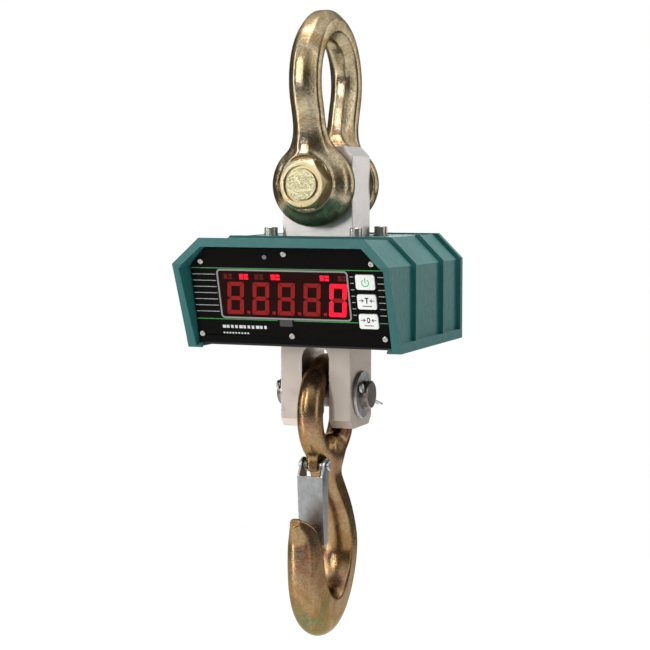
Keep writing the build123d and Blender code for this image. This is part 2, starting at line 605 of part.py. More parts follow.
def key_switches():
    """A tact switch behind each key."""
    switches = []
    for v in KEY_VS.values():
        body = panel_box(KEY_U - 3, KEY_U + 3, v - 3, v + 3, BOARD_OUT + 0.1, BOARD_OUT + 3.6)
        stem_top = KEY_BACK + KEY_TRAVEL + 0.5
        switches.append(body + panel_hole(KEY_U, v, 1.7, -stem_top, -BOARD_OUT - 0.2))
    return group(switches)


def key_cap(v):
    """A keycap: a pillow-edged face in the panel's opening and a flange that keeps it in."""
    proud = 1.1
    face = panel_box(KEY_U - KEY_W / 2, KEY_U + KEY_W / 2, v - KEY_H / 2, v + KEY_H / 2, -3.5, proud, KEY_R)
    face = fillet(face.faces().sort_by(Axis.Y)[0].edges(), 0.7)
    flange_w = KEY_W / 2 + 0.9
    flange_h = KEY_H / 2 + 0.9
    flange = panel_box(KEY_U - flange_w, KEY_U + flange_w, v - flange_h, v + flange_h,
                       -KEY_BACK, -PANEL_T - 0.35, KEY_R)
    return face + flange


def ir_window():
    half_w = IR_W / 2 - 0.1
    half_h = IR_H / 2 - 0.1
    return panel_box(IR_U - half_w, IR_U + half_w, IR_V - half_h, IR_V + half_h, -2.8, 0.15, 0.8)


def light_sensor():
    return panel_hole(SENSOR_U, SENSOR_V, SENSOR_R - 0.1, 0.3, 4.0)


# ---- inside the hood ---------------------------------------------------------------
def rear_cover():
    outline_inset = WALL + 0.3
    cover = hood_prism(outline_inset, REAR_SEAT_Y + 1.0, REAR_SEAT_Y + 4.0, bottom_z=FLOOR_TOP_Z - FLOOR_T)
    for x, z in REAR_SCREWS:
        cover = cover - rod(1.5, (x, 80, z), (x, 120, z))
    cover = cover - rod(SOCKET_R + 0.05, (SOCKET_X, 80, SOCKET_Z), (SOCKET_X, 120, SOCKET_Z))
    return cover


def rear_gasket():
    frame = hood_prism(WALL + 0.3, REAR_SEAT_Y + 0.02, REAR_SEAT_Y + 0.98, bottom_z=FLOOR_TOP_Z + 0.2)
    frame = frame - hood_prism(WALL + LEDGE - 0.3, 90, 110, bottom_z=FLOOR_TOP_Z + 5)
    for x, z in REAR_SCREWS:
        frame = frame - rod(1.5, (x, 80, z), (x, 120, z))
    return frame


def rear_screws():
    screws = []
    face = REAR_SEAT_Y + 4.0
    for x, z in REAR_SCREWS:
        head = rod(2.7, (x, face + 0.05, z), (x, face + 2.2, z))
        head = fillet(head.edges().sort_by(Axis.Y)[-1], 1.0)
        slot = block(x - 1.8, x + 1.8, face + 1.3, face + 5, z - 0.35, z + 0.35)
        screws.append(head - slot + rod(1.2, (x, REAR_LEDGE_Y - 4, z), (x, face + 0.5, z)))
    return group(screws)


def charging_socket():
    """Panel socket in the rear cover, with its nut inside."""
    face = REAR_SEAT_Y + 4.0
    body = rod(SOCKET_R, (SOCKET_X, face - 16, SOCKET_Z), (SOCKET_X, face + 0.5, SOCKET_Z))
    flange = rod(10.5, (SOCKET_X, face + 0.05, SOCKET_Z), (SOCKET_X, face + 1.6, SOCKET_Z))
    nut = rod(10.5, (SOCKET_X, face - 6.2, SOCKET_Z), (SOCKET_X, face - 3.2, SOCKET_Z))
    return body + flange + nut - rod(5.2, (SOCKET_X, face - 8, SOCKET_Z), (SOCKET_X, face + 9, SOCKET_Z))


def charging_socket_cap():
    """Rubber cap pressed into the socket."""
    face = REAR_SEAT_Y + 4.0
    cap = rod(9.5, (SOCKET_X, face + 1.7, SOCKET_Z), (SOCKET_X, face + 4.2, SOCKET_Z))
    cap = fillet(cap.edges().sort_by(Axis.Y)[-1], 1.0)
    return cap + rod(5.0, (SOCKET_X, face - 5, SOCKET_Z), (SOCKET_X, face + 2, SOCKET_Z))


def main_board():
    """The amplifier and processor board on the rear cover, with its larger components."""
    half_w, half_h = MAIN_BOARD_HALF_W, MAIN_BOARD_HALF_H
    low_z = MAIN_BOARD_Z - half_h
    high_z = MAIN_BOARD_Z + half_h
    board = block(-half_w, half_w, MAIN_BOARD_Y, MAIN_BOARD_Y + 1.6, low_z, high_z)
    for x in (-half_w + 5, half_w - 5):
        for z in (low_z + 5, high_z - 5):
            board = board - rod(1.6, (x, 60, z), (x, 90, z))
    front = MAIN_BOARD_Y - 0.05
    chips = []
    sizes = ((-38, 8, 16, 16, 2.0), (-8, 10, 14, 10, 3.0), (20, -12, 18, 12, 9.0), (-30, -16, 22, 7, 8.0))
    for x, z, w, h, t in sizes:
        mid_z = MAIN_BOARD_Z + z
        chips.append(block(x - w / 2, x + w / 2, front - t, front, mid_z - h / 2, mid_z + h / 2))
    buzzer = rod(6.0, (48, front - 7.5, MAIN_BOARD_Z + 14), (48, front, MAIN_BOARD_Z + 14))
    return group([board, *chips, buzzer])


def main_board_posts():
    """Spacers between the main board and the rear cover."""
    posts = []
    for x in (5.0 - MAIN_BOARD_HALF_W, MAIN_BOARD_HALF_W - 5.0):
        for z in (MAIN_BOARD_Z + 5.0 - MAIN_BOARD_HALF_H, MAIN_BOARD_Z + MAIN_BOARD_HALF_H - 5.0):
            posts.append(rod(2.6, (x, MAIN_BOARD_Y + 1.65, z), (x, REAR_SEAT_Y + 0.95, z)))
    return group(posts)


def battery_pack():
    pack = block(-87, -43, -38, 38, FLOOR_TOP_Z + 0.05, FLOOR_TOP_Z + BATTERY_H)
    return fillet(pack.edges(), 2.5)


def battery_strap():
    """Steel strip bent over the battery and screwed through the floor at both ends."""
    x0, x1 = -TRAY_SCREW_X - 8, -TRAY_SCREW_X + 8
    top = FLOOR_TOP_Z + BATTERY_H + 0.1
    low = FLOOR_TOP_Z + 0.05
    outer = [(-57, low), (-57, low + 1.5), (-39.7, low + 1.5), (-39.7, top + 1.5),
             (39.7, top + 1.5), (39.7, low + 1.5), (57, low + 1.5), (57, low)]
    inner = [(38.2, low), (38.2, top), (-38.2, top), (-38.2, low)]
    strap = prism_along_x(outer + inner, x0, x1)
    for y in (-TRAY_SCREW_Y, TRAY_SCREW_Y):
        strap = strap - rod(1.65, (-TRAY_SCREW_X, y, low - 2), (-TRAY_SCREW_X, y, low + 5))
    return strap


def power_board():
    """Charging and power board lying over the floor on the other side."""
    board = block(41, 78, -57, 57, POWER_BOARD_Z, POWER_BOARD_Z + 1.6)
    for y in (-TRAY_SCREW_Y, TRAY_SCREW_Y):
        board = board - rod(2.0, (TRAY_SCREW_X, y, POWER_BOARD_Z - 5), (TRAY_SCREW_X, y, POWER_BOARD_Z + 5))
    top = POWER_BOARD_Z + 1.65
    coil = Pos(60, -20, top + 6) * Cylinder(11, 12)
    cans = [Pos(52 + 14 * i, 14, top + 9) * Cylinder(5, 18) for i in range(2)]
    terminal = block(46, 74, 30, 40, top, top + 11)
    return group([board, coil, *cans, terminal])


def power_board_spacers():
    x = TRAY_SCREW_X
    spacers = []
    for y in (-TRAY_SCREW_Y, TRAY_SCREW_Y):
        tube = rod(4.0, (x, y, FLOOR_TOP_Z + 0.05), (x, y, POWER_BOARD_Z - 0.05))
        spacers.append(tube - rod(1.65, (x, y, FLOOR_TOP_Z - 2), (x, y, POWER_BOARD_Z + 2)))
    return group(spacers)


def ribbon_cable():
    """Flat cable from the display board past the block to the main board."""
    low_z = PANEL_CENTRE_Z - 12
    start_y = PANEL_CENTRE_Y - BOARD_OUT + BOARD_T + 5.0
    route = FilletPolyline((70, start_y), (70, -62), (90, -40), (90, 48), (62, 64),
                           (62, MAIN_BOARD_Y - 0.2), radius=8)
    flat = trace(route, 0.9)
    return extrude(Pos(0, 0, low_z) * flat, amount=18)


def gauge_cable():
    """Screened cable from the rear gauge pocket to the main board."""
    y0 = CLEVIS_T / 2 + 0.1
    route = FilletPolyline((0, y0, GAUGE_Z), (0, y0 + 14, GAUGE_Z), (-22, y0 + 28, GAUGE_Z + 6),
                           (-22, MAIN_BOARD_Y - 0.1, GAUGE_Z + 6), radius=7)
    section = Plane(origin=route @ 0, z_dir=route % 0) * Circle(2.0)
    return sweep(section, route)


# ---- hook pin ----------------------------------------------------------------------
def hook_pin():
    """The clevis pin, cross-drilled at both ends."""
    pin = rod(PIN_R, (-PIN_HALF, 0, PIN_Z), (PIN_HALF, 0, PIN_Z))
    pin = chamfer(pin.edges().filter_by(GeomType.CIRCLE), 1.2)
    for x in (-SPLIT_PIN_X, SPLIT_PIN_X):
        pin = pin - split_pin_plane(x) * Pos(0, 0, PIN_R) * Cylinder(SPLIT_PIN_R + 0.3, 60)
    return pin


def split_pin_plane(x):
    """Where a split pin starts: on the front of the hook pin, pointing back and down."""
    tilt = math.radians(SPLIT_PIN_TILT)
    reach = PIN_R + 2.4
    return Plane(origin=(x, -reach * math.cos(tilt), PIN_Z + reach * math.sin(tilt)), x_dir=(1, 0, 0),
                 z_dir=(0, math.cos(tilt), -math.sin(tilt)))


def hook_split_pins():
    """Both legs of each pin are bent outwards, one further than the other."""
    pins = []
    for side in (-1, 1):
        bends = [side * bend for bend in (2.0, 5.0)[::side]]
        pin = split_pin(SPLIT_PIN_R, 2 * PIN_R + 5.0, leg_len=12.0, bends=bends, eye_turn=90)
        pins.append(split_pin_plane(side * SPLIT_PIN_X) * pin)
    return group(pins)


def pin_washers():
    inner = BLOCK_W / 2 + 0.35
    washers = []
    for side in (-1, 1):
        ring = rod(WASHER_R, (side * inner, 0, PIN_Z), (side * (inner + WASHER_T), 0, PIN_Z))
        washers.append(ring - rod(PIN_R + 0.2, (-60, 0, PIN_Z), (60, 0, PIN_Z)))
    return group(washers)


# ---- hook --------------------------------------------------------------------------
def on_bowl(angle, radius):
    """A place on the centreline of the bowl, whose radius changes a little round it."""
    turn = math.radians(angle)
    return BOWL_Y + radius * math.cos(turn), BOWL_Z + radius * math.sin(turn)


def hook_stations():
    """Where the bar of the hook runs: y, z, half depth in its plane, half width along X."""
    neck = [(-1.0, PIN_Z - 58.0, 17.0, 11.6), (0.5, PIN_Z - 76.0, 18.8, 13.0),
            (11.4, PIN_Z - 97.0, 18.2, 14.2)]
    back = [(28.6, PIN_Z - 119.0, 17.8, 16.0), (*on_bowl(24, 51.2), 19.0, 17.0),
            (*on_bowl(0, 50.4), 19.4, 17.2)]
    bowl = [(*on_bowl(-45, 49.6), 18.8, 16.2), (*on_bowl(-90, 52.8), 22.6, 17.6),
            (*on_bowl(-135, 52.6), 22.0, 17.8), (*on_bowl(-176, 50.6), 19.2, 16.6)]
    point = [(-62.5, PIN_Z - 142.5, 17.0, 15.6), (-71.5, PIN_Z - 127.5, 11.5, 11.5),
             (-82.0, PIN_Z - 117.0, 5.0, 5.2)]
    return neck + back + bowl + point


def hook_section(half_depth, half_width):
    """A forged section: a crowned saddle inside, sides drawing in behind it and a round back."""
    ridge = -HOOK_RIDGE * half_depth
    shoulder = HOOK_SHOULDER * half_depth
    back_w = HOOK_BACK * half_width
    right = Line((half_width, ridge), (back_w, shoulder))
    back = EllipticalCenterArc((0, shoulder), back_w, half_depth - shoulder, arc_size=180)
    left = Line((-back_w, shoulder), (-half_width, ridge))
    saddle = ThreePointArc((-half_width, ridge), (0, -half_depth), (half_width, ridge))
    return make_face(Wire([right, back, left, saddle]))


def hook():
    """Forged eye hook: ring, necked shank, bowl, turned-out point and the latch lug."""
    stations = hook_stations()
    path = Spline(*[(0, y, z) for y, z, _, _ in stations])
    sections = []
    for y, z, half_depth, half_width in stations:
        at = path.param_at_point((0, y, z))
        plane = Plane(origin=(0, y, z), x_dir=(-1, 0, 0), z_dir=path.tangent_at(at))
        sections.append(plane * hook_section(half_depth, half_width))
    bar = loft(sections)
    tip = stations[-1]
    bar = bar + Pos(0, tip[0] + 0.8, tip[1] - 0.8) * Sphere(4.9)
    ring = Pos(0, 0, EYE_Z) * Rot(0, 90, 0) * Torus(EYE_MEAN_R, EYE_WIRE_R)
    lug = block(-LATCH_LUG_W / 2, LATCH_LUG_W / 2, LATCH_Y - 7.0, -12.0, LATCH_Z - 5.3, LATCH_Z + 11.4)
    body = bar + ring + lug
    return body - rod(LATCH_PIN_R, (-20, LATCH_Y, LATCH_Z), (20, LATCH_Y, LATCH_Z))


def latch_pin():
    """Rivet through the lug, headed outside both ears of the latch."""
    half = LATCH_W / 2 + 0.35
    pin = rod(LATCH_PIN_R, (-half - 0.5, LATCH_Y, LATCH_Z), (half + 0.5, LATCH_Y, LATCH_Z))
    for side in (-1, 1):
        head = rod(4.8, (side * half, LATCH_Y, LATCH_Z), (side * (half + 2.4), LATCH_Y, LATCH_Z))
        outer = head.edges().sort_by(Axis.X)[-1 if side > 0 else 0]
        pin = pin + fillet(outer, 1.4)
    return pin


def latch():
    """Folded sheet latch: a face plate with a flange and an ear down each side."""
    top, bottom = LATCH_Z - 9.0, LATCH_Z - 77.0
    face_top, face_bottom = LATCH_Y - 14.5, LATCH_Y - 8.6
    half = LATCH_W / 2
    side_outline = [(face_top, top), (face_bottom, bottom), (LATCH_Y + 0.5, bottom),
                    (LATCH_Y + 2.0, LATCH_Z - 18.0), (LATCH_Y + LATCH_EAR_R - 0.2, LATCH_Z - 1.5),
                    (LATCH_Y - LATCH_EAR_R + 0.2, LATCH_Z + 1.5)]
    side = prism_along_x(side_outline, half - LATCH_T, half)
    side = side + rod(LATCH_EAR_R, (half - LATCH_T, LATCH_Y, LATCH_Z), (half, LATCH_Y, LATCH_Z))
    plate = prism_along_x([(face_top, top), (face_bottom, bottom), (face_bottom + LATCH_T, bottom),
                           (face_top + LATCH_T, top)], -half, half)
    body = plate + side + mirror(side, Plane.YZ)
    return body - rod(LATCH_PIN_R + RUNNING_GAP, (-30, LATCH_Y, LATCH_Z), (30, LATCH_Y, LATCH_Z))


def latch_spring():
    """Two close coils round the rivet, one each side of the lug, with legs down the latch."""
    wire = 0.6
    coil_r = LATCH_PIN_R + 1.3
    coils = []
    for side in (-1, 1):
        helix = Helix(pitch=1.35, height=3.0, radius=coil_r)
        coil = sweep(Plane(origin=helix @ 0, z_dir=helix % 0) * Circle(wire), helix)
        leg_x = side * COIL_X
        placed = Plane(origin=(leg_x, LATCH_Y, LATCH_Z), x_dir=(0, -1, 0), z_dir=(side, 0, 0)) * coil
        leg = rod(wire, (leg_x, LATCH_Y - coil_r, LATCH_Z), (leg_x, LATCH_Y - 8.5, LATCH_Z - 40.0))
        coils.append(placed + leg)
    return group(coils)


# ---- all the pieces ----------------------------------------------------------------
def build():
    add("shackle_bow", shackle_bow())
    add("shackle_bolt", shackle_bolt())
    add("shackle_nut", shackle_nut())
    add("shackle_cotter", shackle_cotter())
    add("load_cell_block", load_cell_block())
    gauge_parts()
    add("gauge_cable", gauge_cable())
    add("hood", hood())
    add("floor_plate", floor_plate())
    add("floor_screws", floor_screws())
    add("tray_screws", tray_screws())
    add("top_gasket", block_gasket(HOOD_TOP_Z - WALL + 0.1, HOOD_TOP_Z - 0.9, LUG_T))
    add("floor_gasket", block_gasket(FLOOR_TOP_Z - FLOOR_T - 0.4, FLOOR_TOP_Z + 0.8, CLEVIS_T))
    add("mounting_collar", mounting_collar())
    add("top_screws", top_screws())
    add("rear_cover", rear_cover())
    add("rear_gasket", rear_gasket())
    add("rear_screws", rear_screws())
    add("charging_socket", charging_socket())
    add("charging_socket_cap", charging_socket_cap())
    add("front_panel", front_panel())
    add("panel_gasket", panel_gasket())
    add("panel_screws", panel_screws())
    add("window_trim", window_trim())
    add("display_window", display_window())
    add("display_digits", display_digits())
    add("indicator_bar", indicator_bar())
    add("display_board", display_board())
    add("board_posts", board_posts())
    add("key_switches", key_switches())
    add("ir_window", ir_window())
    add("light_sensor", light_sensor())
    add("main_board", main_board())
    add("main_board_posts", main_board_posts())
    add("ribbon_cable", ribbon_cable())
    add("battery_pack", battery_pack())
    add("battery_strap", battery_strap())
    add("power_board", power_board())
    add("power_board_spacers", power_board_spacers())
    for name, v in KEY_VS.items():
        add(name, key_cap(v))
    add("hook_pin", hook_pin())
    add("pin_washers", pin_washers())
    add("hook_split_pins", hook_split_pins())
    add("hook", hook())
    add("latch_pin", latch_pin())
    add("latch", latch())
    add("latch_spring", latch_spring())


build()
os.makedirs("parts", exist_ok=True)
for part_name, part_shape in PARTS.items():
    export_step(part_shape, "parts/" + part_name + ".step")
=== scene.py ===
import bpy
import bmesh
import json
import math
import numpy as np
import openvdb
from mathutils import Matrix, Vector


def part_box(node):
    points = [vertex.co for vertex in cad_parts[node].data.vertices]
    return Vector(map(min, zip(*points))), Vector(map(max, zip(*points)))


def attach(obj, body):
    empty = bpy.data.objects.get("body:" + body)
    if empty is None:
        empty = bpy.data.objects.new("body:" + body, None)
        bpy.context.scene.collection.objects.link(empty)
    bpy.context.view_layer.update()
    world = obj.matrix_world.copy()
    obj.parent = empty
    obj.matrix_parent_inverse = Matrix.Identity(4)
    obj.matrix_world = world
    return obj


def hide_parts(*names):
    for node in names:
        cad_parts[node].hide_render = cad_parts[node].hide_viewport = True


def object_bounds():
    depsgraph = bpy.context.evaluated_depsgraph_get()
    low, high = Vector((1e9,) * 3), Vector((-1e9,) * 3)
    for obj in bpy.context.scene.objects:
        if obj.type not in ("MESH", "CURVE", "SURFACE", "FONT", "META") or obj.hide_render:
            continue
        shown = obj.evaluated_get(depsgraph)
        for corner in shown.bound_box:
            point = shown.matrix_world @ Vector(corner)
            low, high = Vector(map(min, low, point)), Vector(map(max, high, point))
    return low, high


# Crane scale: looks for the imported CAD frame.  Meshes and lights are in metres, in the CAD's
# frame; shapes are worked out in millimetres and scaled by MM.
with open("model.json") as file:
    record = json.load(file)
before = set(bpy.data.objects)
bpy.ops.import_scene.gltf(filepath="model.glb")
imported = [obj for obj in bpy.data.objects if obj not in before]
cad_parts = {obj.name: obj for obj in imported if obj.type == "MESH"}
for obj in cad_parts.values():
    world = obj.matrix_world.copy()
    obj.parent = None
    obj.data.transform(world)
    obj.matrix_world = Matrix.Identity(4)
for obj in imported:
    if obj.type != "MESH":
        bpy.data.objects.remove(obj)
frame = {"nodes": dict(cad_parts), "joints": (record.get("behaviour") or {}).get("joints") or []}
cad_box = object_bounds()
scene = bpy.context.scene
nodes = frame["nodes"]
MM = 0.001

joint_at = {j["name"]: Vector(j["pos_m"]) for j in frame["joints"] if "pos_m" in j}
BOLT_Z = joint_at["body_swing"].z / MM
PIN_Z = joint_at["hook_swing"].z / MM
LATCH_Y = joint_at["latch_open"].y / MM
LATCH_Z = joint_at["latch_open"].z / MM


# ---- materials -----------------------------------------------------------------------
class Surface:
    """A procedural material being put together; coordinates are the object's own metres."""

    def __init__(self, name, base, roughness, metallic=0.0, specular=0.5):
        self.mat = bpy.data.materials.new(name)
        self.mat.use_nodes = True
        self.tree = self.mat.node_tree
        self.shader = self.tree.nodes["Principled BSDF"]
        self.shader.inputs["Base Color"].default_value = (*base, 1)
        self.shader.inputs["Roughness"].default_value = roughness
        self.shader.inputs["Metallic"].default_value = metallic
        self.shader.inputs["Specular IOR Level"].default_value = specular
        texture_coordinate = self.tree.nodes.new("ShaderNodeTexCoord")
        self.coords = texture_coordinate.outputs["Object"]
        self.normals = texture_coordinate.outputs["Normal"]

    def link(self, source, target):
        self.tree.links.new(source, target)

    def stretched(self, x, y, z):
        mapping = self.tree.nodes.new("ShaderNodeMapping")
        mapping.inputs["Scale"].default_value = (x, y, z)
        self.link(self.coords, mapping.inputs["Vector"])
        return mapping.outputs["Vector"]

    def noise(self, scale, detail=4.0, rough=0.55, distortion=0.0, vector=None):
        node = self.tree.nodes.new("ShaderNodeTexNoise")
        node.inputs["Scale"].default_value = scale
        node.inputs["Detail"].default_value = detail
        node.inputs["Roughness"].default_value = rough
        node.inputs["Distortion"].default_value = distortion
        self.link(vector or self.coords, node.inputs["Vector"])
        return node.outputs["Fac"]

    def voronoi(self, scale):
        node = self.tree.nodes.new("ShaderNodeTexVoronoi")
        node.inputs["Scale"].default_value = scale
        self.link(self.coords, node.inputs["Vector"])
        return node.outputs["Distance"]

    def ramp(self, value, stops):
        node = self.tree.nodes.new("ShaderNodeValToRGB")
        elements = node.color_ramp.elements
        while len(elements) < len(stops):
            elements.new(0.5)
        for element, (position, colour) in zip(elements, stops):
            element.position = position
            element.color = (*colour, 1)
        self.link(value, node.inputs["Fac"])
        return node.outputs["Color"]

    def spread(self, value, low, high, out_low, out_high):
        node = self.tree.nodes.new("ShaderNodeMapRange")
        limits = {"From Min": low, "From Max": high, "To Min": out_low, "To Max": out_high}
        for key, number in limits.items():
            node.inputs[key].default_value = number
        self.link(value, node.inputs["Value"])
        return node.outputs["Result"]

    def patchy(self, scale, detail, rough, low, high):
        """A value from low to high that changes in soft patches."""
        return self.spread(self.noise(scale, detail, rough), 0.3, 0.7, low, high)

    def mix(self, factor, first, second):
        node = self.tree.nodes.new("ShaderNodeMix")
        node.data_type = "RGBA"
        sockets = (node.inputs[0], node.inputs[6], node.inputs[7])
        for socket, value in zip(sockets, (factor, first, second)):
            if isinstance(value, (int, float)):
                socket.default_value = value
            elif isinstance(value, tuple):
                socket.default_value = (*value, 1)
            else:
                self.link(value, socket)
        return node.outputs[2]

    def math(self, operation, first, second=None):
        node = self.tree.nodes.new("ShaderNodeMath")
        node.operation = operation
        for socket, value in zip(node.inputs, (first, second)):
            if isinstance(value, (int, float)):
                socket.default_value = value
            elif value is not None:
                self.link(value, socket)
        return node.outputs[0]

    def axis(self, name, vector=None):
        """One axis of the place, or of another vector."""
        node = self.tree.nodes.new("ShaderNodeSeparateXYZ")
        self.link(vector or self.coords, node.inputs[0])
        return node.outputs[name]

    def facing_up(self):
        """How far the surface faces up in the object's own frame."""
        return self.axis("Z", self.normals)

    def bump(self, height, distance, strength):
        node = self.tree.nodes.new("ShaderNodeBump")
        node.inputs["Distance"].default_value = distance
        node.inputs["Strength"].default_value = strength
        self.link(height, node.inputs["Height"])
        if self.shader.inputs["Normal"].links:
            self.link(self.shader.inputs["Normal"].links[0].from_socket, node.inputs["Normal"])
        self.link(node.outputs["Normal"], self.shader.inputs["Normal"])

    def colour(self, socket):
        self.link(socket, self.shader.inputs["Base Color"])

    def rough(self, socket):
        self.link(socket, self.shader.inputs["Roughness"])


def chromated(name, stops, grime, roughness):
    """Yellow-chromated forging: shifting gold, olive and rose films over a pitted surface."""
    s = Surface(name, stops[1][1], 0.35, metallic=1.0)
    s.shader.inputs["Specular Tint"].default_value = (0.70, 0.64, 0.54, 1)
    film = s.ramp(s.noise(17, 5, 0.55, 1.4), stops)
    streaks = s.noise(60, 5, 0.6, 0.4, vector=s.stretched(1.6, 1.6, 0.45))
    film = s.mix(s.spread(streaks, 0.50, 0.76, 0.0, 0.26), film, (0.46, 0.40, 0.28))
    pits = s.noise(520, 4, 0.65)
    film = s.mix(s.spread(pits, 0.40, 0.56, grime, 0.0), film, (0.075, 0.06, 0.03))
    s.colour(film)
    s.rough(s.patchy(95, 5, 0.6, *roughness))
    s.bump(s.noise(75, 4, 0.5), 0.0005, 0.5)
    s.bump(pits, 0.00028, 0.65)
    return s.mat


def painted(name, dark, light):
    """Semi-matt paint on a sand casting, scuffed, and lighter where it faces up: painted light from above."""
    s = Surface(name, dark, 0.45, specular=0.28)
    tone = s.mix(s.patchy(9, 4, 0.5, 0.0, 1.0), dark, light)
    scuffs = s.noise(46, 8, 0.72, 1.2, vector=s.stretched(1.0, 0.35, 1.0))
    tone = s.mix(s.spread(scuffs, 0.62, 0.78, 0.0, 0.30), tone, tuple(0.05 + 1.6 * c for c in dark))
    # Painted light: faces that turn upwards get a lighter tone, as if lit from above.
    painted_top_light = s.math("MULTIPLY", s.spread(s.facing_up(), 0.35, 0.75, 0.0, 0.55),
                  s.spread(s.noise(34, 5, 0.6), 0.25, 0.6, 0.7, 1.0))
    tone = s.mix(painted_top_light, tone, tuple(0.09 + 1.7 * c for c in dark))
    s.colour(tone)
    s.rough(s.patchy(140, 4, 0.6, 0.36, 0.50))
    grain = 0.00014
    s.bump(s.noise(160, 3, 0.5), grain * 2.2, 0.45)
    s.bump(s.noise(1100, 2, 0.5), grain, 0.4)
    return s.mat


def brushed(name, first, second, roughness, stretch):
    """Ground or brushed metal: fine lines along one direction and a few darker smudges."""
    s = Surface(name, first, 0.3, metallic=1.0)
    lines = s.noise(240, 4, 0.7, vector=s.stretched(*stretch))
    smudge = s.noise(22, 5, 0.6, 0.8)
    tone = s.mix(s.spread(lines, 0.25, 0.75, 0.0, 1.0), first, second)
    tone = s.mix(s.spread(smudge, 0.52, 0.80, 0.0, 0.45), tone, tuple(0.72 * c for c in first))
    s.colour(tone)
    s.rough(s.patchy(60, 5, 0.6, *roughness))
    s.bump(lines, 0.00006, 0.5)
    return s.mat


def plastic(name, base, roughness, bump_scale=900, distance=0.00003, specular=0.5, vary=0.12):
    """Moulded or printed surface with a faint grain."""
    s = Surface(name, base, roughness, specular=specular)
    dimmer = tuple(c * (1.0 - vary) for c in base)
    s.colour(s.mix(s.patchy(30, 4, 0.6, 0.0, 1.0), base, dimmer))
    s.rough(s.patchy(70, 4, 0.6, roughness * 0.85, roughness * 1.2))
    s.bump(s.noise(bump_scale, 2, 0.5), distance, 0.5)
    return s.mat


def glowing(name, base, strength):
    """A lit lamp segment, or an unlit one with a faint painted glow, with the uneven light of a diffuser."""
    s = Surface(name, base, 0.3, specular=0.1)
    s.colour(s.mix(s.patchy(260, 3, 0.6, 0.0, 0.25), base, tuple(0.6 * c for c in base)))
    emission = s.mix(s.patchy(180, 2, 0.5, 0.0, 0.35), base, tuple(0.75 * c for c in base))
    s.link(emission, s.shader.inputs["Emission Color"])
    s.shader.inputs["Emission Strength"].default_value = strength
    return s.mat


# Colours are linear.  A brushed finish gives two tones, a range of roughness, and the stretch of
# its lines; a plastic gives its base, roughness, scale and depth of grain, and specular level.
M = {}
M["bow"] = chromated("chromated_bow", [
    (0.26, (0.20, 0.19, 0.10)), (0.40, (0.31, 0.23, 0.13)), (0.50, (0.40, 0.34, 0.23)),
    (0.60, (0.29, 0.19, 0.10)), (0.72, (0.24, 0.25, 0.14))], grime=0.40, roughness=(0.13, 0.26))
M["hook"] = chromated("chromated_hook", [
    (0.28, (0.13, 0.135, 0.06)), (0.40, (0.245, 0.13, 0.048)), (0.50, (0.28, 0.19, 0.095)),
    (0.60, (0.26, 0.115, 0.068)), (0.70, (0.15, 0.165, 0.088))], grime=0.42, roughness=(0.17, 0.30))
M["green"] = painted("green_paint", (0.009, 0.084, 0.078), (0.013, 0.102, 0.097))
M["floor_black"] = painted("black_paint", (0.010, 0.010, 0.010), (0.016, 0.016, 0.016))
M["zinc"] = brushed("zinc_plate", (0.46, 0.47, 0.45), (0.33, 0.34, 0.33), (0.24, 0.44), (1.0, 1.0, 0.25))
M["pin"] = brushed("turned_pin", (0.20, 0.17, 0.15), (0.14, 0.12, 0.11), (0.26, 0.42), (1.0, 4.0, 4.0))
M["screw"] = brushed("screw_steel", (0.50, 0.47, 0.43), (0.30, 0.28, 0.26), (0.22, 0.40), (1.0, 1.0, 4.0))
M["latch"] = brushed("latch_zinc", (0.34, 0.345, 0.34), (0.22, 0.225, 0.225), (0.24, 0.46), (1.0, 1.0, 0.5))
M["collar"] = brushed("collar_steel", (0.36, 0.36, 0.35), (0.28, 0.28, 0.28), (0.30, 0.50), (1.0, 4.0, 4.0))
M["strap"] = brushed("strap_steel", (0.52, 0.52, 0.51), (0.42, 0.42, 0.42), (0.25, 0.45), (4.0, 1.0, 4.0))
M["gauge_disc"] = brushed("gauge_disc", (0.60, 0.60, 0.61), (0.50, 0.50, 0.51), (0.25, 0.40), (4.0, 1.0, 1.0))
M["foil"] = brushed("gauge_foil", (0.70, 0.46, 0.20), (0.55, 0.36, 0.16), (0.25, 0.40), (1.0, 1.0, 8.0))
M["panel"] = plastic("panel_film", (0.0030, 0.0027, 0.0024), 0.30, 1200, 0.000012, 0.03)
M["rubber"] = plastic("black_rubber", (0.018, 0.018, 0.018), 0.62, 700, 0.00008)
M["cable"] = plastic("cable_sheath", (0.26, 0.26, 0.27), 0.48, 600, 0.00005)
M["board"] = plastic("circuit_board", (0.012, 0.105, 0.038), 0.36, 500, 0.00006, vary=0.3)
M["dark_plastic"] = plastic("black_plastic", (0.02, 0.02, 0.02), 0.42)
M["battery"] = plastic("battery_wrap", (0.035, 0.065, 0.19), 0.28)
M["key"] = plastic("key_cap", (0.72, 0.72, 0.70), 0.34, 1000, 0.00003, vary=0.06)
M["sensor"] = plastic("sensor_lens", (0.13, 0.13, 0.14), 0.12)
M["ir"] = plastic("infrared_window", (0.010, 0.006, 0.007), 0.10)
M["trim"] = plastic("window_outline", (0.20, 0.20, 0.20), 0.45)
M["window"] = plastic("tinted_window", (0.014, 0.0022, 0.0016), 0.20, 1500, 0.000004, 0.035, 0.35)
M["led_body"] = plastic("led_module", (0.05, 0.012, 0.012), 0.4)
M["print_green"] = plastic("green_print", (0.010, 0.230, 0.026), 0.40)
M["print_grey"] = plastic("grey_print", (0.36, 0.37, 0.37), 0.42)
M["print_pale"] = plastic("pale_print", (0.52, 0.53, 0.52), 0.42)
M["icon_green"] = plastic("icon_green", (0.03, 0.42, 0.12), 0.40)
M["icon_dark"] = plastic("icon_dark", (0.010, 0.011, 0.011), 0.42)
M["lit"] = glowing("segment_lit", (1.0, 0.004, 0.020), 1.05)
# Unlit segments and lamp legends glow faintly: this is painted light, not lamps that are on.
M["dim"] = glowing("segment_dim", (0.17, 0.004, 0.003), 0.42)
M["faint"] = glowing("legend_faint", (0.07, 0.003, 0.002), 0.25)


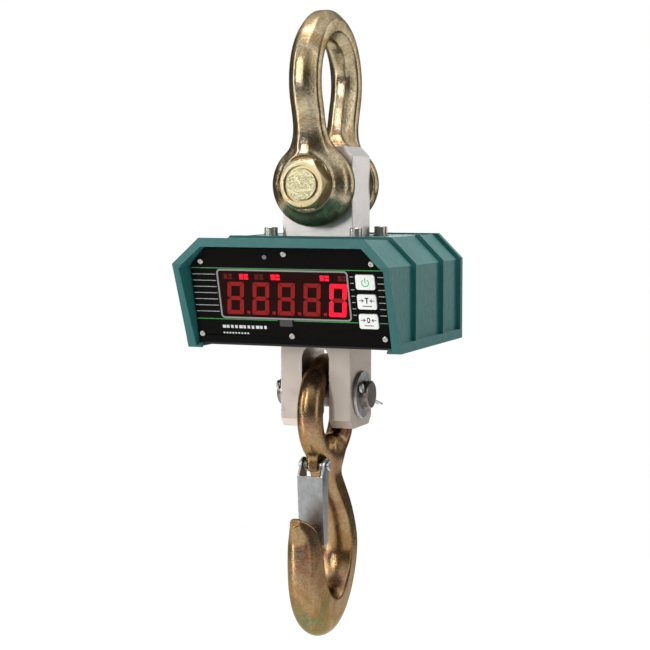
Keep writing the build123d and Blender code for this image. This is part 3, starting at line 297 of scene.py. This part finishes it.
def block_material():
    """Load cell block: bright ground lug above the hood, warmer brushed clevis below it."""
    s = Surface("machined_block", (0.6, 0.58, 0.54), 0.3, metallic=1.0)
    lines = s.noise(260, 4, 0.7, vector=s.stretched(0.15, 1.0, 3.0))
    height = s.axis("Z")
    upper = s.spread(height, (PIN_Z + 60) * MM, (BOLT_Z - 60) * MM, 0.0, 1.0)
    tone = s.mix(upper, (0.54, 0.465, 0.405), (0.62, 0.59, 0.57))
    tone = s.mix(s.spread(lines, 0.3, 0.7, 0.0, 0.28), tone, (0.44, 0.40, 0.36))
    cloud = s.noise(26, 5, 0.6, 0.6)
    tone = s.mix(s.spread(cloud, 0.50, 0.78, 0.0, 0.35), tone, (0.42, 0.40, 0.38))
    s.colour(tone)
    s.rough(s.patchy(120, 5, 0.65, 0.36, 0.50))
    s.bump(lines, 0.00007, 0.5)
    s.bump(s.noise(900, 2, 0.5), 0.00003, 0.4)
    return s.mat


DISC_R = 0.0149  # the bolt head's raised centre disc
DISC_FADE = 0.0003


def bolt_material():
    """Chromated bolt whose raised centre disc keeps its rough forged skin."""
    s = Surface("chromated_bolt", (0.7, 0.6, 0.36), 0.35, metallic=1.0)
    film = s.ramp(s.noise(30, 5, 0.55, 1.2), [
        (0.3, (0.34, 0.27, 0.13)), (0.5, (0.46, 0.38, 0.21)), (0.65, (0.42, 0.37, 0.24))])
    x = s.axis("X")
    drop = s.math("SUBTRACT", s.axis("Z"), BOLT_Z * MM)
    squares = s.math("ADD", s.math("MULTIPLY", x, x), s.math("MULTIPLY", drop, drop))
    inside = s.spread(s.math("SQRT", squares), DISC_R - DISC_FADE, DISC_R + DISC_FADE, 1.0, 0.0)
    film = s.mix(inside, film, (0.74, 0.66, 0.42))
    rough_skin = s.noise(330, 6, 0.75, 1.5)
    lumps = s.voronoi(420)
    height = s.math("MULTIPLY", s.math("ADD", rough_skin, lumps), inside)
    grime = s.math("MULTIPLY", s.spread(rough_skin, 0.36, 0.52, 0.8, 0.0), inside)
    film = s.mix(grime, film, (0.26, 0.20, 0.08))
    s.colour(film)
    s.rough(s.patchy(110, 5, 0.6, 0.24, 0.42))
    s.bump(s.noise(500, 4, 0.6), 0.00016, 0.5)
    s.bump(height, 0.0016, 0.9)
    return s.mat


M["block"] = block_material()
M["bolt"] = bolt_material()

FINISH = {
    "shackle_bow": "bow", "shackle_bolt": "bolt", "shackle_nut": "bow", "shackle_cotter": "zinc",
    "load_cell_block": "block", "strain_gauges": "foil", "gauge_covers": "gauge_disc", "gauge_cable": "cable",
    "hood": "green", "mounting_collar": "collar", "top_gasket": "rubber", "top_screws": "screw",
    "floor_plate": "floor_black", "floor_gasket": "rubber", "floor_screws": "screw", "tray_screws": "screw",
    "rear_cover": "green", "rear_gasket": "rubber", "rear_screws": "screw",
    "charging_socket": "dark_plastic", "charging_socket_cap": "rubber",
    "front_panel": "panel", "panel_gasket": "rubber", "panel_screws": "screw",
    "window_trim": "trim", "display_window": "window", "display_digits": "led_body",
    "indicator_bar": "led_body", "ir_window": "ir", "light_sensor": "sensor",
    "key_power": "key", "key_tare": "key", "key_zero": "key", "key_switches": "dark_plastic",
    "display_board": "board", "board_posts": "dark_plastic", "ribbon_cable": "cable",
    "main_board": "board", "main_board_posts": "dark_plastic",
    "power_board": "board", "power_board_spacers": "dark_plastic",
    "battery_pack": "battery", "battery_strap": "strap",
    "hook_pin": "pin", "pin_washers": "zinc", "hook_split_pins": "zinc",
    "hook": "hook", "latch": "latch", "latch_pin": "zinc", "latch_spring": "zinc"}

# Rounded edges, in metres, for the CAD pieces that stay and show them.
EDGES = {
    "hood": 0.0015, "load_cell_block": 0.0009, "latch": 0.0006, "shackle_nut": 0.0006,
    "shackle_bolt": 0.0005, "floor_plate": 0.0005, "front_panel": 0.0003, "pin_washers": 0.0005,
    "top_screws": 0.0003, "panel_screws": 0.0002, "tray_screws": 0.0003, "charging_socket": 0.0004}
WELD_GAP = 0.000004
ROUNDED_ABOVE = math.radians(24)
CRISP_ABOVE = math.radians(32)


def shade_smooth(mesh):
    for polygon in mesh.polygons:
        polygon.use_smooth = True


def dress(name):
    """A CAD piece gets its finish, rounded edges and smooth shading."""
    obj = nodes[name]
    obj.data.materials.clear()
    obj.data.materials.append(M[FINISH[name]])
    weld = obj.modifiers.new("weld", "WELD")
    weld.merge_threshold = WELD_GAP
    if name in EDGES:
        bevel = obj.modifiers.new("edges", "BEVEL")
        bevel.width = EDGES[name]
        bevel.segments = 3
        bevel.limit_method = "ANGLE"
        bevel.angle_limit = ROUNDED_ABOVE
    shade_smooth(obj.data)
    split = obj.modifiers.new("crisp", "EDGE_SPLIT")
    split.split_angle = CRISP_ABOVE
    if name in EDGES:
        flatten = obj.modifiers.new("flat_faces", "WEIGHTED_NORMAL")
        flatten.keep_sharp = True


for cad_name in nodes:
    dress(cad_name)


# ---- forgings, from distance fields --------------------------------------------------
FIELD_STEP = 1.1  # millimetres between the samples of a field
FIELD_BAND = 4.0  # distances are cut off beyond this
BOW_MARGIN, HOOK_MARGIN = 2.5, 3.0  # how far the samples reach past the CAD node


def new_object(name, mesh, material):
    obj = bpy.data.objects.new(name, mesh)
    scene.collection.objects.link(obj)
    mesh.materials.append(material)
    return obj


def smooth_min(first, second, k):
    """The union of two distance fields, blended over about k millimetres."""
    h = np.maximum(k - np.abs(first - second), 0.0) / k
    return np.minimum(first, second) - h * h * k * 0.25


def smooth_max(first, second, k):
    """What two distance fields have in common, blended over about k millimetres."""
    return -smooth_min(-first, -second, k)


def field_mesh(name, low, high, field, body, material, node):
    """A closed mesh where field(x, y, z), in millimetres, is zero; it stands for a CAD node."""
    axes = [np.arange(a, b + FIELD_STEP, FIELD_STEP) for a, b in zip(low, high)]
    x, y, z = (axes[0][:, None, None], axes[1][None, :, None], axes[2][None, None, :])
    values = np.ascontiguousarray(field(x, y, z), dtype=np.float32)
    grid = openvdb.FloatGrid(FIELD_BAND)
    grid.copyFromArray(np.clip(values, -FIELD_BAND, FIELD_BAND))
    points, quads = grid.convertToQuads(0.0)
    points = (points * FIELD_STEP + low) * MM
    mesh = bpy.data.meshes.new(name)
    mesh.from_pydata(points.tolist(), [], quads[:, ::-1].tolist())
    mesh.validate()
    work = bmesh.new()
    work.from_mesh(mesh)
    bmesh.ops.recalc_face_normals(work, faces=work.faces)
    work.to_mesh(mesh)
    work.free()
    shade_smooth(mesh)
    obj = new_object(name, mesh, material)
    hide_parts(node)
    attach(obj, body)


def along(path, y, z):
    """For points (y, z): where along a planar path the nearest place is, from 0 to 1, and the
    signed distance to it."""
    path = np.array(path)
    steps = np.diff(path, axis=0)
    lengths = np.hypot(steps[:, 0], steps[:, 1])
    travelled = np.concatenate([[0.0], np.cumsum(lengths)])
    best = np.full(y.shape, np.inf)
    place = np.zeros(y.shape)
    side = np.zeros(y.shape)
    for i in range(len(steps)):
        ty, tz = steps[i] / lengths[i]
        dy, dz = y - path[i, 0], z - path[i, 1]
        t = np.clip(dy * ty + dz * tz, 0.0, lengths[i])
        gap_y, gap_z = dy - t * ty, dz - t * tz
        gap = np.hypot(gap_y, gap_z)
        nearer = gap < best
        best = np.where(nearer, gap, best)
        place = np.where(nearer, travelled[i] + t, place)
        side = np.where(nearer, np.sign(gap_y * tz - gap_z * ty), side)
    return place / travelled[-1], best * side


def octagon_bar(x, d, radius, flat):
    """A round bar with eight forged flats; flat is how far they are from its centre."""
    bar = np.hypot(x, d) - radius
    for k in range(4):
        angle = k * math.pi / 4
        across = np.abs(x * math.cos(angle) + d * math.sin(angle)) - flat
        bar = smooth_max(bar, across, 1.2)
    return bar


# ---- bow
WIRE_R, WIRE_FLAT, BOW_R = 15.9, 15.1, 55.5
EAR_Y, EAR_IN, EAR_OUT, EAR_R = 41.5, 25.6, 54.5, 41.0
DOME_Y, DOME_HALF, DOME_POWER = 34.0, 21.0, 2.6  # each eye is a rounded dome about DOME_Y
BOSS_R, SPOT_R = 27.0, 27.4  # the boss on its outside, and the flat face cut on that
JAW_TOP = BOLT_Z + 48.0
BEND_STEPS = 14


def bow_points():
    """The bow's centreline, from one eye over the crown to the other."""
    round_z = WIRE_R - BOW_R
    straight_z = BOLT_Z + 23.0
    drop = round_z - straight_z
    bend_r = (drop ** 2 / (BOW_R - EAR_Y) - BOW_R - EAR_Y) / 2
    centre_y = EAR_Y + bend_r
    turn = math.asin(drop / (BOW_R + bend_r))
    half = [(EAR_Y, BOLT_Z)]
    bend = [turn * k / BEND_STEPS for k in range(BEND_STEPS + 1)]
    half += [(centre_y - bend_r * math.cos(a), straight_z + bend_r * math.sin(a)) for a in bend]
    rise = [(BOW_R * math.cos(a), round_z + BOW_R * math.sin(a))
            for a in np.linspace(-turn, math.pi / 2, 30)]
    half += rise[1:]
    return [(-y, z) for y, z in half] + [(y, z) for y, z in half[-2::-1]]


def bow_field(x, y, z):
    flat_y, flat_z = np.broadcast_arrays(y[0], z[0])
    _, d = along(bow_points(), flat_y, flat_z)
    d = d[None]
    bar = octagon_bar(x, d, WIRE_R, WIRE_FLAT)
    out = np.abs(y)
    radius = np.hypot(x, z - BOLT_Z)
    dome = (radius / EAR_R) ** DOME_POWER + (np.abs(out - DOME_Y) / DOME_HALF) ** DOME_POWER
    dome = (dome ** (1 / DOME_POWER) - 1.0) * DOME_HALF
    boss = smooth_max(radius - BOSS_R, out - EAR_OUT, 1.5)
    boss = np.maximum(boss, DOME_Y - out)
    eye = smooth_min(dome, boss, 4.0)
    solid = smooth_min(bar, eye, 13.0)
    spot = np.maximum(EAR_OUT - out, radius - SPOT_R)
    solid = np.maximum(solid, -spot)
    jaw = np.maximum(out - EAR_IN, z - JAW_TOP)
    return smooth_max(solid, -jaw, 1.4)


bow_low, bow_high = [np.array(c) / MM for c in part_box("shackle_bow")]
field_mesh("forged_bow", bow_low - BOW_MARGIN, bow_high + BOW_MARGIN, bow_field, "shackle", M["bow"],
           "shackle_bow")

# ---- hook
EYE_R, EYE_BAR = 44.0, 12.6
PIN_CLEAR = 14.1  # the pin's radius and the eye's play on it
EYE_Z = PIN_Z + PIN_CLEAR - (EYE_R - EYE_BAR)
BOWL_Y, BOWL_Z = -8.5, PIN_Z - 167.0
LUG_Y, LUG_Z = LATCH_Y + 6.5, LATCH_Z + 3.0
LUG_HALF = (5.0, 13.5, 8.4)
HOOK_ROWS, EASE_WINDOW = 240, 27
TIP_REACH, TIP_END = 24.0, 2.2  # the point is cut off TIP_END past its last row


def on_bowl(angle, radius):
    """A place on the centreline of the bowl, whose radius changes a little round it."""
    turn = math.radians(angle)
    return BOWL_Y + radius * math.cos(turn), BOWL_Z + radius * math.sin(turn)


def hook_stations():
    """Where the bar of the hook runs: y, z, half depth in its plane, half width along X."""
    neck = [(-1.0, PIN_Z - 58.0, 17.0, 11.6), (0.5, PIN_Z - 76.0, 18.8, 13.0),
            (11.4, PIN_Z - 97.0, 18.2, 14.2)]
    back = [(28.6, PIN_Z - 119.0, 17.8, 16.0), (*on_bowl(24, 51.2), 19.0, 17.0),
            (*on_bowl(0, 50.4), 19.4, 17.2)]
    bowl = [(*on_bowl(-45, 49.6), 18.8, 16.2), (*on_bowl(-90, 52.8), 22.6, 17.6),
            (*on_bowl(-135, 52.6), 22.0, 17.8), (*on_bowl(-176, 50.6), 19.2, 16.6)]
    point = [(-62.5, PIN_Z - 142.5, 17.0, 15.6), (-71.5, PIN_Z - 127.5, 11.5, 11.5),
             (-82.0, PIN_Z - 117.0, 5.6, 5.8)]
    return np.array(neck + back + bowl + point)


def smooth_through(rows, count):
    """Evenly spaced rows on a Catmull-Rom curve through the given rows."""
    rows = np.vstack([2 * rows[0] - rows[1], rows, 2 * rows[-1] - rows[-2]])
    spans = len(rows) - 3
    made = []
    for t in np.linspace(0, spans - 1e-9, count):
        i = int(t)
        f = t - i
        a, b, c, d = rows[i], rows[i + 1], rows[i + 2], rows[i + 3]
        made.append(0.5 * (2 * b + (c - a) * f + (2 * a - 5 * b + 4 * c - d) * f ** 2
                           + (3 * b - a - 3 * c + d) * f ** 3))
    return np.array(made)


def averaged(rows, window):
    """The rows after two passes of a moving average; the ends stay where they are."""
    half = window // 2
    for _ in range(2):
        before = 2 * rows[0] - rows[half:0:-1]
        after = 2 * rows[-1] - rows[-2:-half - 2:-1]
        padded = np.vstack([before, rows, after])
        weights = np.ones(window) / window
        rows = np.column_stack([np.convolve(column, weights, "valid") for column in padded.T])
    return rows


def eased(rows, window):
    """The rows with every bend eased, and what the average took off the wide bends put back."""
    soft = averaged(rows, window)
    return soft + averaged(rows - soft, window)


def forged_section(x, d, depth, width):
    """Crowned saddle on the inside (d below 0), sides drawing in behind its ridges, round back."""
    ridge, shoulder = -0.72 * depth, 0.10 * depth
    crown = depth + ridge
    saddle_r = (width ** 2 + crown ** 2) / (2 * crown)
    saddle = np.hypot(x, d - (saddle_r - depth)) - saddle_r
    back_w = 0.90 * width
    side = np.abs(x) - (width - (width - back_w) * (d - ridge) / (shoulder - ridge))
    rear = (np.sqrt((x / back_w) ** 2 + ((d - shoulder) / (depth - shoulder)) ** 2) - 1.0) * back_w
    return smooth_max(saddle, np.where(d > shoulder, rear, side), 2.4)


def hook_field(x, y, z):
    rows = eased(smooth_through(hook_stations(), HOOK_ROWS), EASE_WINDOW)
    flat_y, flat_z = np.broadcast_arrays(y[0], z[0])
    place, d = along(rows[:, :2], flat_y, flat_z)
    reach = np.concatenate([[0.0], np.cumsum(np.hypot(*np.diff(rows[:, :2], axis=0).T))])
    depth, width = (np.interp(place, reach / reach[-1], rows[:, k])[None] for k in (2, 3))
    bar = forged_section(x, -d[None], depth, width)
    tip, before = rows[-1], rows[-6]
    aim = (tip[:2] - before[:2]) / np.hypot(*(tip[:2] - before[:2]))
    beyond = (y - tip[0]) * aim[0] + (z - tip[1]) * aim[1]
    near_tip = np.hypot(y - tip[0], z - tip[1]) < TIP_REACH
    bar = np.where(near_tip, smooth_max(bar, beyond - TIP_END, 0.8), bar)
    ring = np.hypot(np.hypot(y, z - EYE_Z) - EYE_R, x) - EYE_BAR
    body = smooth_min(bar, ring, 15.0)
    lug = np.maximum(np.maximum(np.abs(x) - LUG_HALF[0], np.abs(y - LUG_Y) - LUG_HALF[1]),
                     np.abs(z - LUG_Z) - LUG_HALF[2])
    body = smooth_min(body, lug, 3.0)
    return np.maximum(body, PIN_CLEAR - np.hypot(y, z - PIN_Z))


hook_low, hook_high = [np.array(c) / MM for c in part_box("hook")]
field_mesh("forged_hook", hook_low - HOOK_MARGIN, hook_high + HOOK_MARGIN, hook_field, "hook_body", M["hook"],
           "hook")


# ---- front panel ---------------------------------------------------------------------
TILT = math.radians(15.5)
PANEL_UP, PANEL_DOWN = 46.8, 48.5  # how far the face reaches along its slope from its origin
panel_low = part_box("front_panel")[0]
PANEL_Y = panel_low.y / MM + PANEL_UP * math.sin(TILT)
PANEL_Z = panel_low.z / MM + PANEL_DOWN * math.cos(TILT)


def on_panel(u, v, out):
    """A point given across, up and out of the front panel's face, in millimetres."""
    y = PANEL_Y - v * math.sin(TILT) - out * math.cos(TILT)
    z = PANEL_Z + v * math.cos(TILT) - out * math.sin(TILT)
    return Vector((u, y, z)) * MM


def print_mesh(name, shapes, out, thickness, material, body="scale_body"):
    """Outlines of (u, v) points raised a little off the panel: ink, segments or icons."""
    work = bmesh.new()
    for outline in shapes:
        face = work.faces.new([work.verts.new(on_panel(u, v, out)) for u, v in outline])
        lifted = bmesh.ops.extrude_face_region(work, geom=[face])
        moved = [g for g in lifted["geom"] if isinstance(g, bmesh.types.BMVert)]
        shift = on_panel(0, 0, thickness) - on_panel(0, 0, 0)
        bmesh.ops.translate(work, verts=moved, vec=shift)
    bmesh.ops.recalc_face_normals(work, faces=work.faces)
    mesh = bpy.data.meshes.new(name)
    work.to_mesh(mesh)
    work.free()
    obj = new_object(name, mesh, material)
    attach(obj, body)


def bar_shape(u0, u1, v0, v1):
    """An upright rectangle."""
    return [(u0, v0), (u1, v0), (u1, v1), (u0, v1)]


ARC_POINTS, OVAL_POINTS = 18, 22


def arc_shape(u, v, inner, outer, start, stop):
    """Part of a ring about (u, v), between two angles in degrees."""
    angles = np.radians(np.linspace(start, stop, ARC_POINTS))
    rim = [(u + outer * math.cos(a), v + outer * math.sin(a)) for a in angles]
    return rim + [(u + inner * math.cos(a), v + inner * math.sin(a)) for a in angles[::-1]]


PROUD, INK = 0.02, 0.06  # how far ink lies over the face, and how thick it is
KEY_U, KEY_HALF = 78.3, 10.6
POWER_V, TARE_V, ZERO_V = 15.5, -3.6, -22.7
LINE_U, LOW_LINE = 96.6, (-24.8, -24.0)
print_mesh("print_green_lines", [
    bar_shape(-LINE_U, LINE_U, 26.2, 27.0), bar_shape(-LINE_U, -13.4, *LOW_LINE),
    bar_shape(3.4, KEY_U - KEY_HALF, *LOW_LINE), bar_shape(KEY_U + KEY_HALF, LINE_U, *LOW_LINE)],
    PROUD, INK, M["print_green"])
line_rows = [20.3 - 6.2 * k for k in range(7)]
side_lines = [bar_shape(u0, u1, v - 0.3, v + 0.3)
              for u0, u1 in ((-96.4, -72.4), (63.4, 66.8), (90.0, 96.4)) for v in line_rows]
print_mesh("print_side_lines", side_lines, PROUD, INK, M["print_grey"])

# Two rows of blank marks, in place of the rating and the model.
MARKS_U = -71.0
rating = []
for k in range(11):
    wide = 2.6 if k % 4 else 3.6
    start = MARKS_U + 4.3 * k
    rating.append(bar_shape(start, start + wide, -33.4, -30.4))
rating += [bar_shape(MARKS_U + 3.1 * k, MARKS_U + 1.8 + 3.1 * k, -39.0, -37.6) for k in range(9)]
print_mesh("print_rating_marks", rating, PROUD, INK, M["print_pale"])

DIGIT_W, DIGIT_H, STROKE, SLANT = 17.0, 32.2, 4.0, 0.120
DIGIT_U, DIGIT_V, DIGIT_PITCH = -2.3, -3.1, 25.9  # the middle digit, and the step to the next
LEGEND_V = 18.3
LED_OUT = -0.19  # the segments lie on the window, whose face is 0.2 behind the panel's
LED_DIM, LED_LIT = 0.05, 0.06  # how thick they are


def segments():
    """The seven bars of a digit about its own centre."""
    w, h, s, gap = DIGIT_W / 2, DIGIT_H / 2, STROKE, 0.45
    half = s / 2
    end = w - half - gap
    middle = [(-end, 0), (-end + half, half), (end - half, half),
              (end, 0), (end - half, -half), (-end + half, -half)]
    top = [(-w + gap, h), (w - gap, h), (w - s - gap * 0.5, h - s), (-w + s + gap * 0.5, h - s)]
    left_top = [(-w, h - gap), (-w + s, h - s - gap * 0.6), (-w + s, half + gap * 0.4),
                (-w + half, gap * 0.8), (-w, half)]
    return {"top": top, "bottom": [(u, -v) for u, v in top], "middle": middle, "left_top": left_top,
            "right_top": [(-u, v) for u, v in left_top], "left_low": [(u, -v) for u, v in left_top],
            "right_low": [(-u, -v) for u, v in left_top]}


def digit_u(index):
    return DIGIT_U + (index - 2) * DIGIT_PITCH


def digit(index, keep):
    """The bars of one of the five digits, leaning by SLANT, whose names keep says yes to."""
    mid_u = digit_u(index)
    return [[(mid_u + u + SLANT * v, DIGIT_V + v) for u, v in shape]
            for name, shape in segments().items() if keep(name)]


def point_mark(index):
    """The decimal point after a digit."""
    u = digit_u(index) + DIGIT_W / 2 + 1.9
    return bar_shape(u, u + 3.1, -18.6, -15.6)


def legends(*places):
    """A lamp legend at each place: three blank blocks instead of characters."""
    low_v, high_v = LEGEND_V - 2.6, LEGEND_V + 2.6
    shapes = []
    for u in places:
        shapes += [bar_shape(u - 4.4, u - 0.6, low_v, high_v),
                   bar_shape(u + 0.3, u + 4.4, LEGEND_V + 0.4, high_v),
                   bar_shape(u + 0.3, u + 4.4, low_v, LEGEND_V - 0.4)]
    return shapes


# The last digit shows a 0; the others are unlit, and carry a faint painted glow.
dim = [shape for i in range(4) for shape in digit(i, lambda name: True)]
dim += digit(4, lambda name: name == "middle")
dim += [point_mark(i) for i in range(4)]
lit = digit(4, lambda name: name != "middle")
print_mesh("segments_dim", dim, LED_OUT, LED_DIM, M["dim"])
print_mesh("segments_lit", lit, LED_OUT, LED_LIT, M["lit"])
print_mesh("legends_lit", legends(-43.3, -11.1, 38.2), LED_OUT, LED_LIT, M["lit"])
# The faint legends are unlit lamps with a painted glow.
print_mesh("legends_faint", legends(-59.5, -27.8, 55.9), LED_OUT, LED_DIM, M["faint"])

# ---- symbols on the keys
KEY_TOP = 1.12  # just over the caps of the keys
ring = arc_shape(KEY_U, POWER_V - 0.4, 2.9, 3.9, 125, 415)
stem = bar_shape(KEY_U - 0.5, KEY_U + 0.5, POWER_V - 0.4, POWER_V + 4.2)
print_mesh("icon_power", [ring, stem], KEY_TOP, INK, M["icon_green"], "power_key")


def arrow(u, v, way):
    """A small arrow whose tip is at u, pointing way = 1 right or -1 left."""
    tail, neck, half = u - way * 5.0, u - way * 1.2, 0.35
    shaft = [(tail, v - half), (neck, v - half), (neck, v + half), (tail, v + half)]
    outer, inner = u - way * 2.2, u - way * 2.6
    head = [(u, v), (outer, v + 1.7), (inner, v + 1.2), (u - way * 1.1, v),
            (inner, v - 1.2), (outer, v - 1.7)]
    return [shaft[::way], head]


def oval_ring(u, v):
    """A 0 as one outline: round the outside, then back round the inside."""
    start, stop = 0.3, 0.3 + 2 * math.pi
    turns = [(a, 1.1) for a in np.linspace(start, stop, OVAL_POINTS)]
    turns += [(a, 0.55) for a in np.linspace(stop, start, OVAL_POINTS)]
    return [(u + 1.5 * math.cos(a) * size, v + 2.6 * math.sin(a) * size) for a, size in turns]


def key_icon(name, v, middle, body):
    """Two arrows that meet at a symbol, over a short bar in place of a word."""
    shapes = arrow(KEY_U - 2.6, v + 1.4, 1) + arrow(KEY_U + 2.6, v + 1.4, -1) + middle
    shapes.append(bar_shape(KEY_U - 4.6, KEY_U + 4.6, v - 4.3, v - 3.5))
    print_mesh(name, shapes, KEY_TOP, INK, M["icon_dark"], body)


letter_t = [bar_shape(KEY_U - 1.8, KEY_U + 1.8, TARE_V + 3.2, TARE_V + 4.4),
            bar_shape(KEY_U - 0.6, KEY_U + 0.6, TARE_V - 1.2, TARE_V + 3.2)]
key_icon("icon_tare", TARE_V, letter_t, "tare_key")
key_icon("icon_zero", ZERO_V, [oval_ring(KEY_U, ZERO_V + 1.5)], "zero_key")


# ---- floor, light and camera ---------------------------------------------------------
low, high = cad_box
centre = (low + high) / 2
FLOOR_REACH = 3.0
FLOOR_Z = low.z - 0.55  # the scale hangs well clear of it
floor_mesh = bpy.data.meshes.new("floor")
corners = [(x * FLOOR_REACH, y * FLOOR_REACH, FLOOR_Z) for x, y in ((-1, -1), (1, -1), (1, 1), (-1, 1))]
floor_mesh.from_pydata(corners, [], [(0, 1, 2, 3)])
floor_finish = Surface("pale_floor", (0.93, 0.93, 0.93), 0.6)
floor_finish.bump(floor_finish.noise(40, 2, 0.5), 0.0002, 0.2)
floor = new_object("floor", floor_mesh, floor_finish.mat)


def soft_light(name, position, size, power):
    """A rectangular lamp aimed at the middle of the scale, and not seen itself."""
    lamp = bpy.data.lights.new(name, "AREA")
    lamp.shape = "RECTANGLE"
    lamp.size, lamp.size_y = size
    lamp.energy = power
    obj = bpy.data.objects.new(name, lamp)
    obj.location = position
    obj.visible_camera = False
    obj.rotation_euler = (centre - Vector(position)).to_track_quat("-Z", "Y").to_euler()
    scene.collection.objects.link(obj)


soft_light("key_left", (-1.6, -0.7, 0.30), (0.30, 1.4), 12)
soft_light("low_left", (-1.5, -1.2, -0.85), (0.22, 0.9), 7)
soft_light("front_left", (-0.86, -1.95, 0.55), (0.12, 1.3), 17)
soft_light("overhead", (-0.1, -0.1, 1.6), (1.2, 1.2), 20)
soft_light("behind", (-0.85, 2.1, 0.2), (1.2, 0.6), 5)
soft_light("fill_right", (1.7, -0.3, 0.10), (0.5, 1.8), 6)
soft_light("rear_right", (1.0, 1.6, 0.2), (0.7, 1.3), 6)

# The scale is lit by a world that brightens upwards, but the camera sees plain white behind it.
world = bpy.data.worlds.new("studio")
world.use_nodes = True
scene.world = world
tree = world.node_tree
direction = tree.nodes.new("ShaderNodeTexCoord")
upwards = tree.nodes.new("ShaderNodeSeparateXYZ")
grading = tree.nodes.new("ShaderNodeValToRGB")
under, over = grading.color_ramp.elements
under.position, under.color = 0.25, (0.11, 0.11, 0.11, 1)
over.position, over.color = 0.75, (1.0, 1.0, 1.0, 1)
lighting = tree.nodes["Background"]
lighting.inputs["Strength"].default_value = 1.42
backdrop = tree.nodes.new("ShaderNodeBackground")
backdrop.inputs["Color"].default_value = (1.0, 1.0, 1.0, 1)
backdrop.inputs["Strength"].default_value = 1.0
rays = tree.nodes.new("ShaderNodeLightPath")
mixer = tree.nodes.new("ShaderNodeMixShader")
tree.links.new(direction.outputs["Generated"], upwards.inputs[0])
tree.links.new(upwards.outputs["Z"], grading.inputs["Fac"])
tree.links.new(grading.outputs["Color"], lighting.inputs["Color"])
tree.links.new(rays.outputs["Is Camera Ray"], mixer.inputs[0])
tree.links.new(lighting.outputs[0], mixer.inputs[1])
tree.links.new(backdrop.outputs[0], mixer.inputs[2])
tree.links.new(mixer.outputs[0], tree.nodes["World Output"].inputs["Surface"])

# The photo's view, as fitted to points on the scale.
CAMERA_AT = (0.62494, -1.60682, -0.13791)
LENS = 96.885
AIM_DOWN, AIM_LEFT = math.radians(4.6123), math.radians(21.3018)
camera_data = bpy.data.cameras.new("camera")
camera = bpy.data.objects.new("camera", camera_data)
scene.collection.objects.link(camera)
camera.location = CAMERA_AT
camera_data.lens = LENS
look = Vector((-math.sin(AIM_LEFT) * math.cos(AIM_DOWN), math.cos(AIM_LEFT) * math.cos(AIM_DOWN),
               -math.sin(AIM_DOWN)))
camera.rotation_euler = look.to_track_quat("-Z", "Y").to_euler()
camera_data.clip_start, camera_data.clip_end = 0.01, 100
scene.camera = camera
scene.view_settings.view_transform = "Standard"
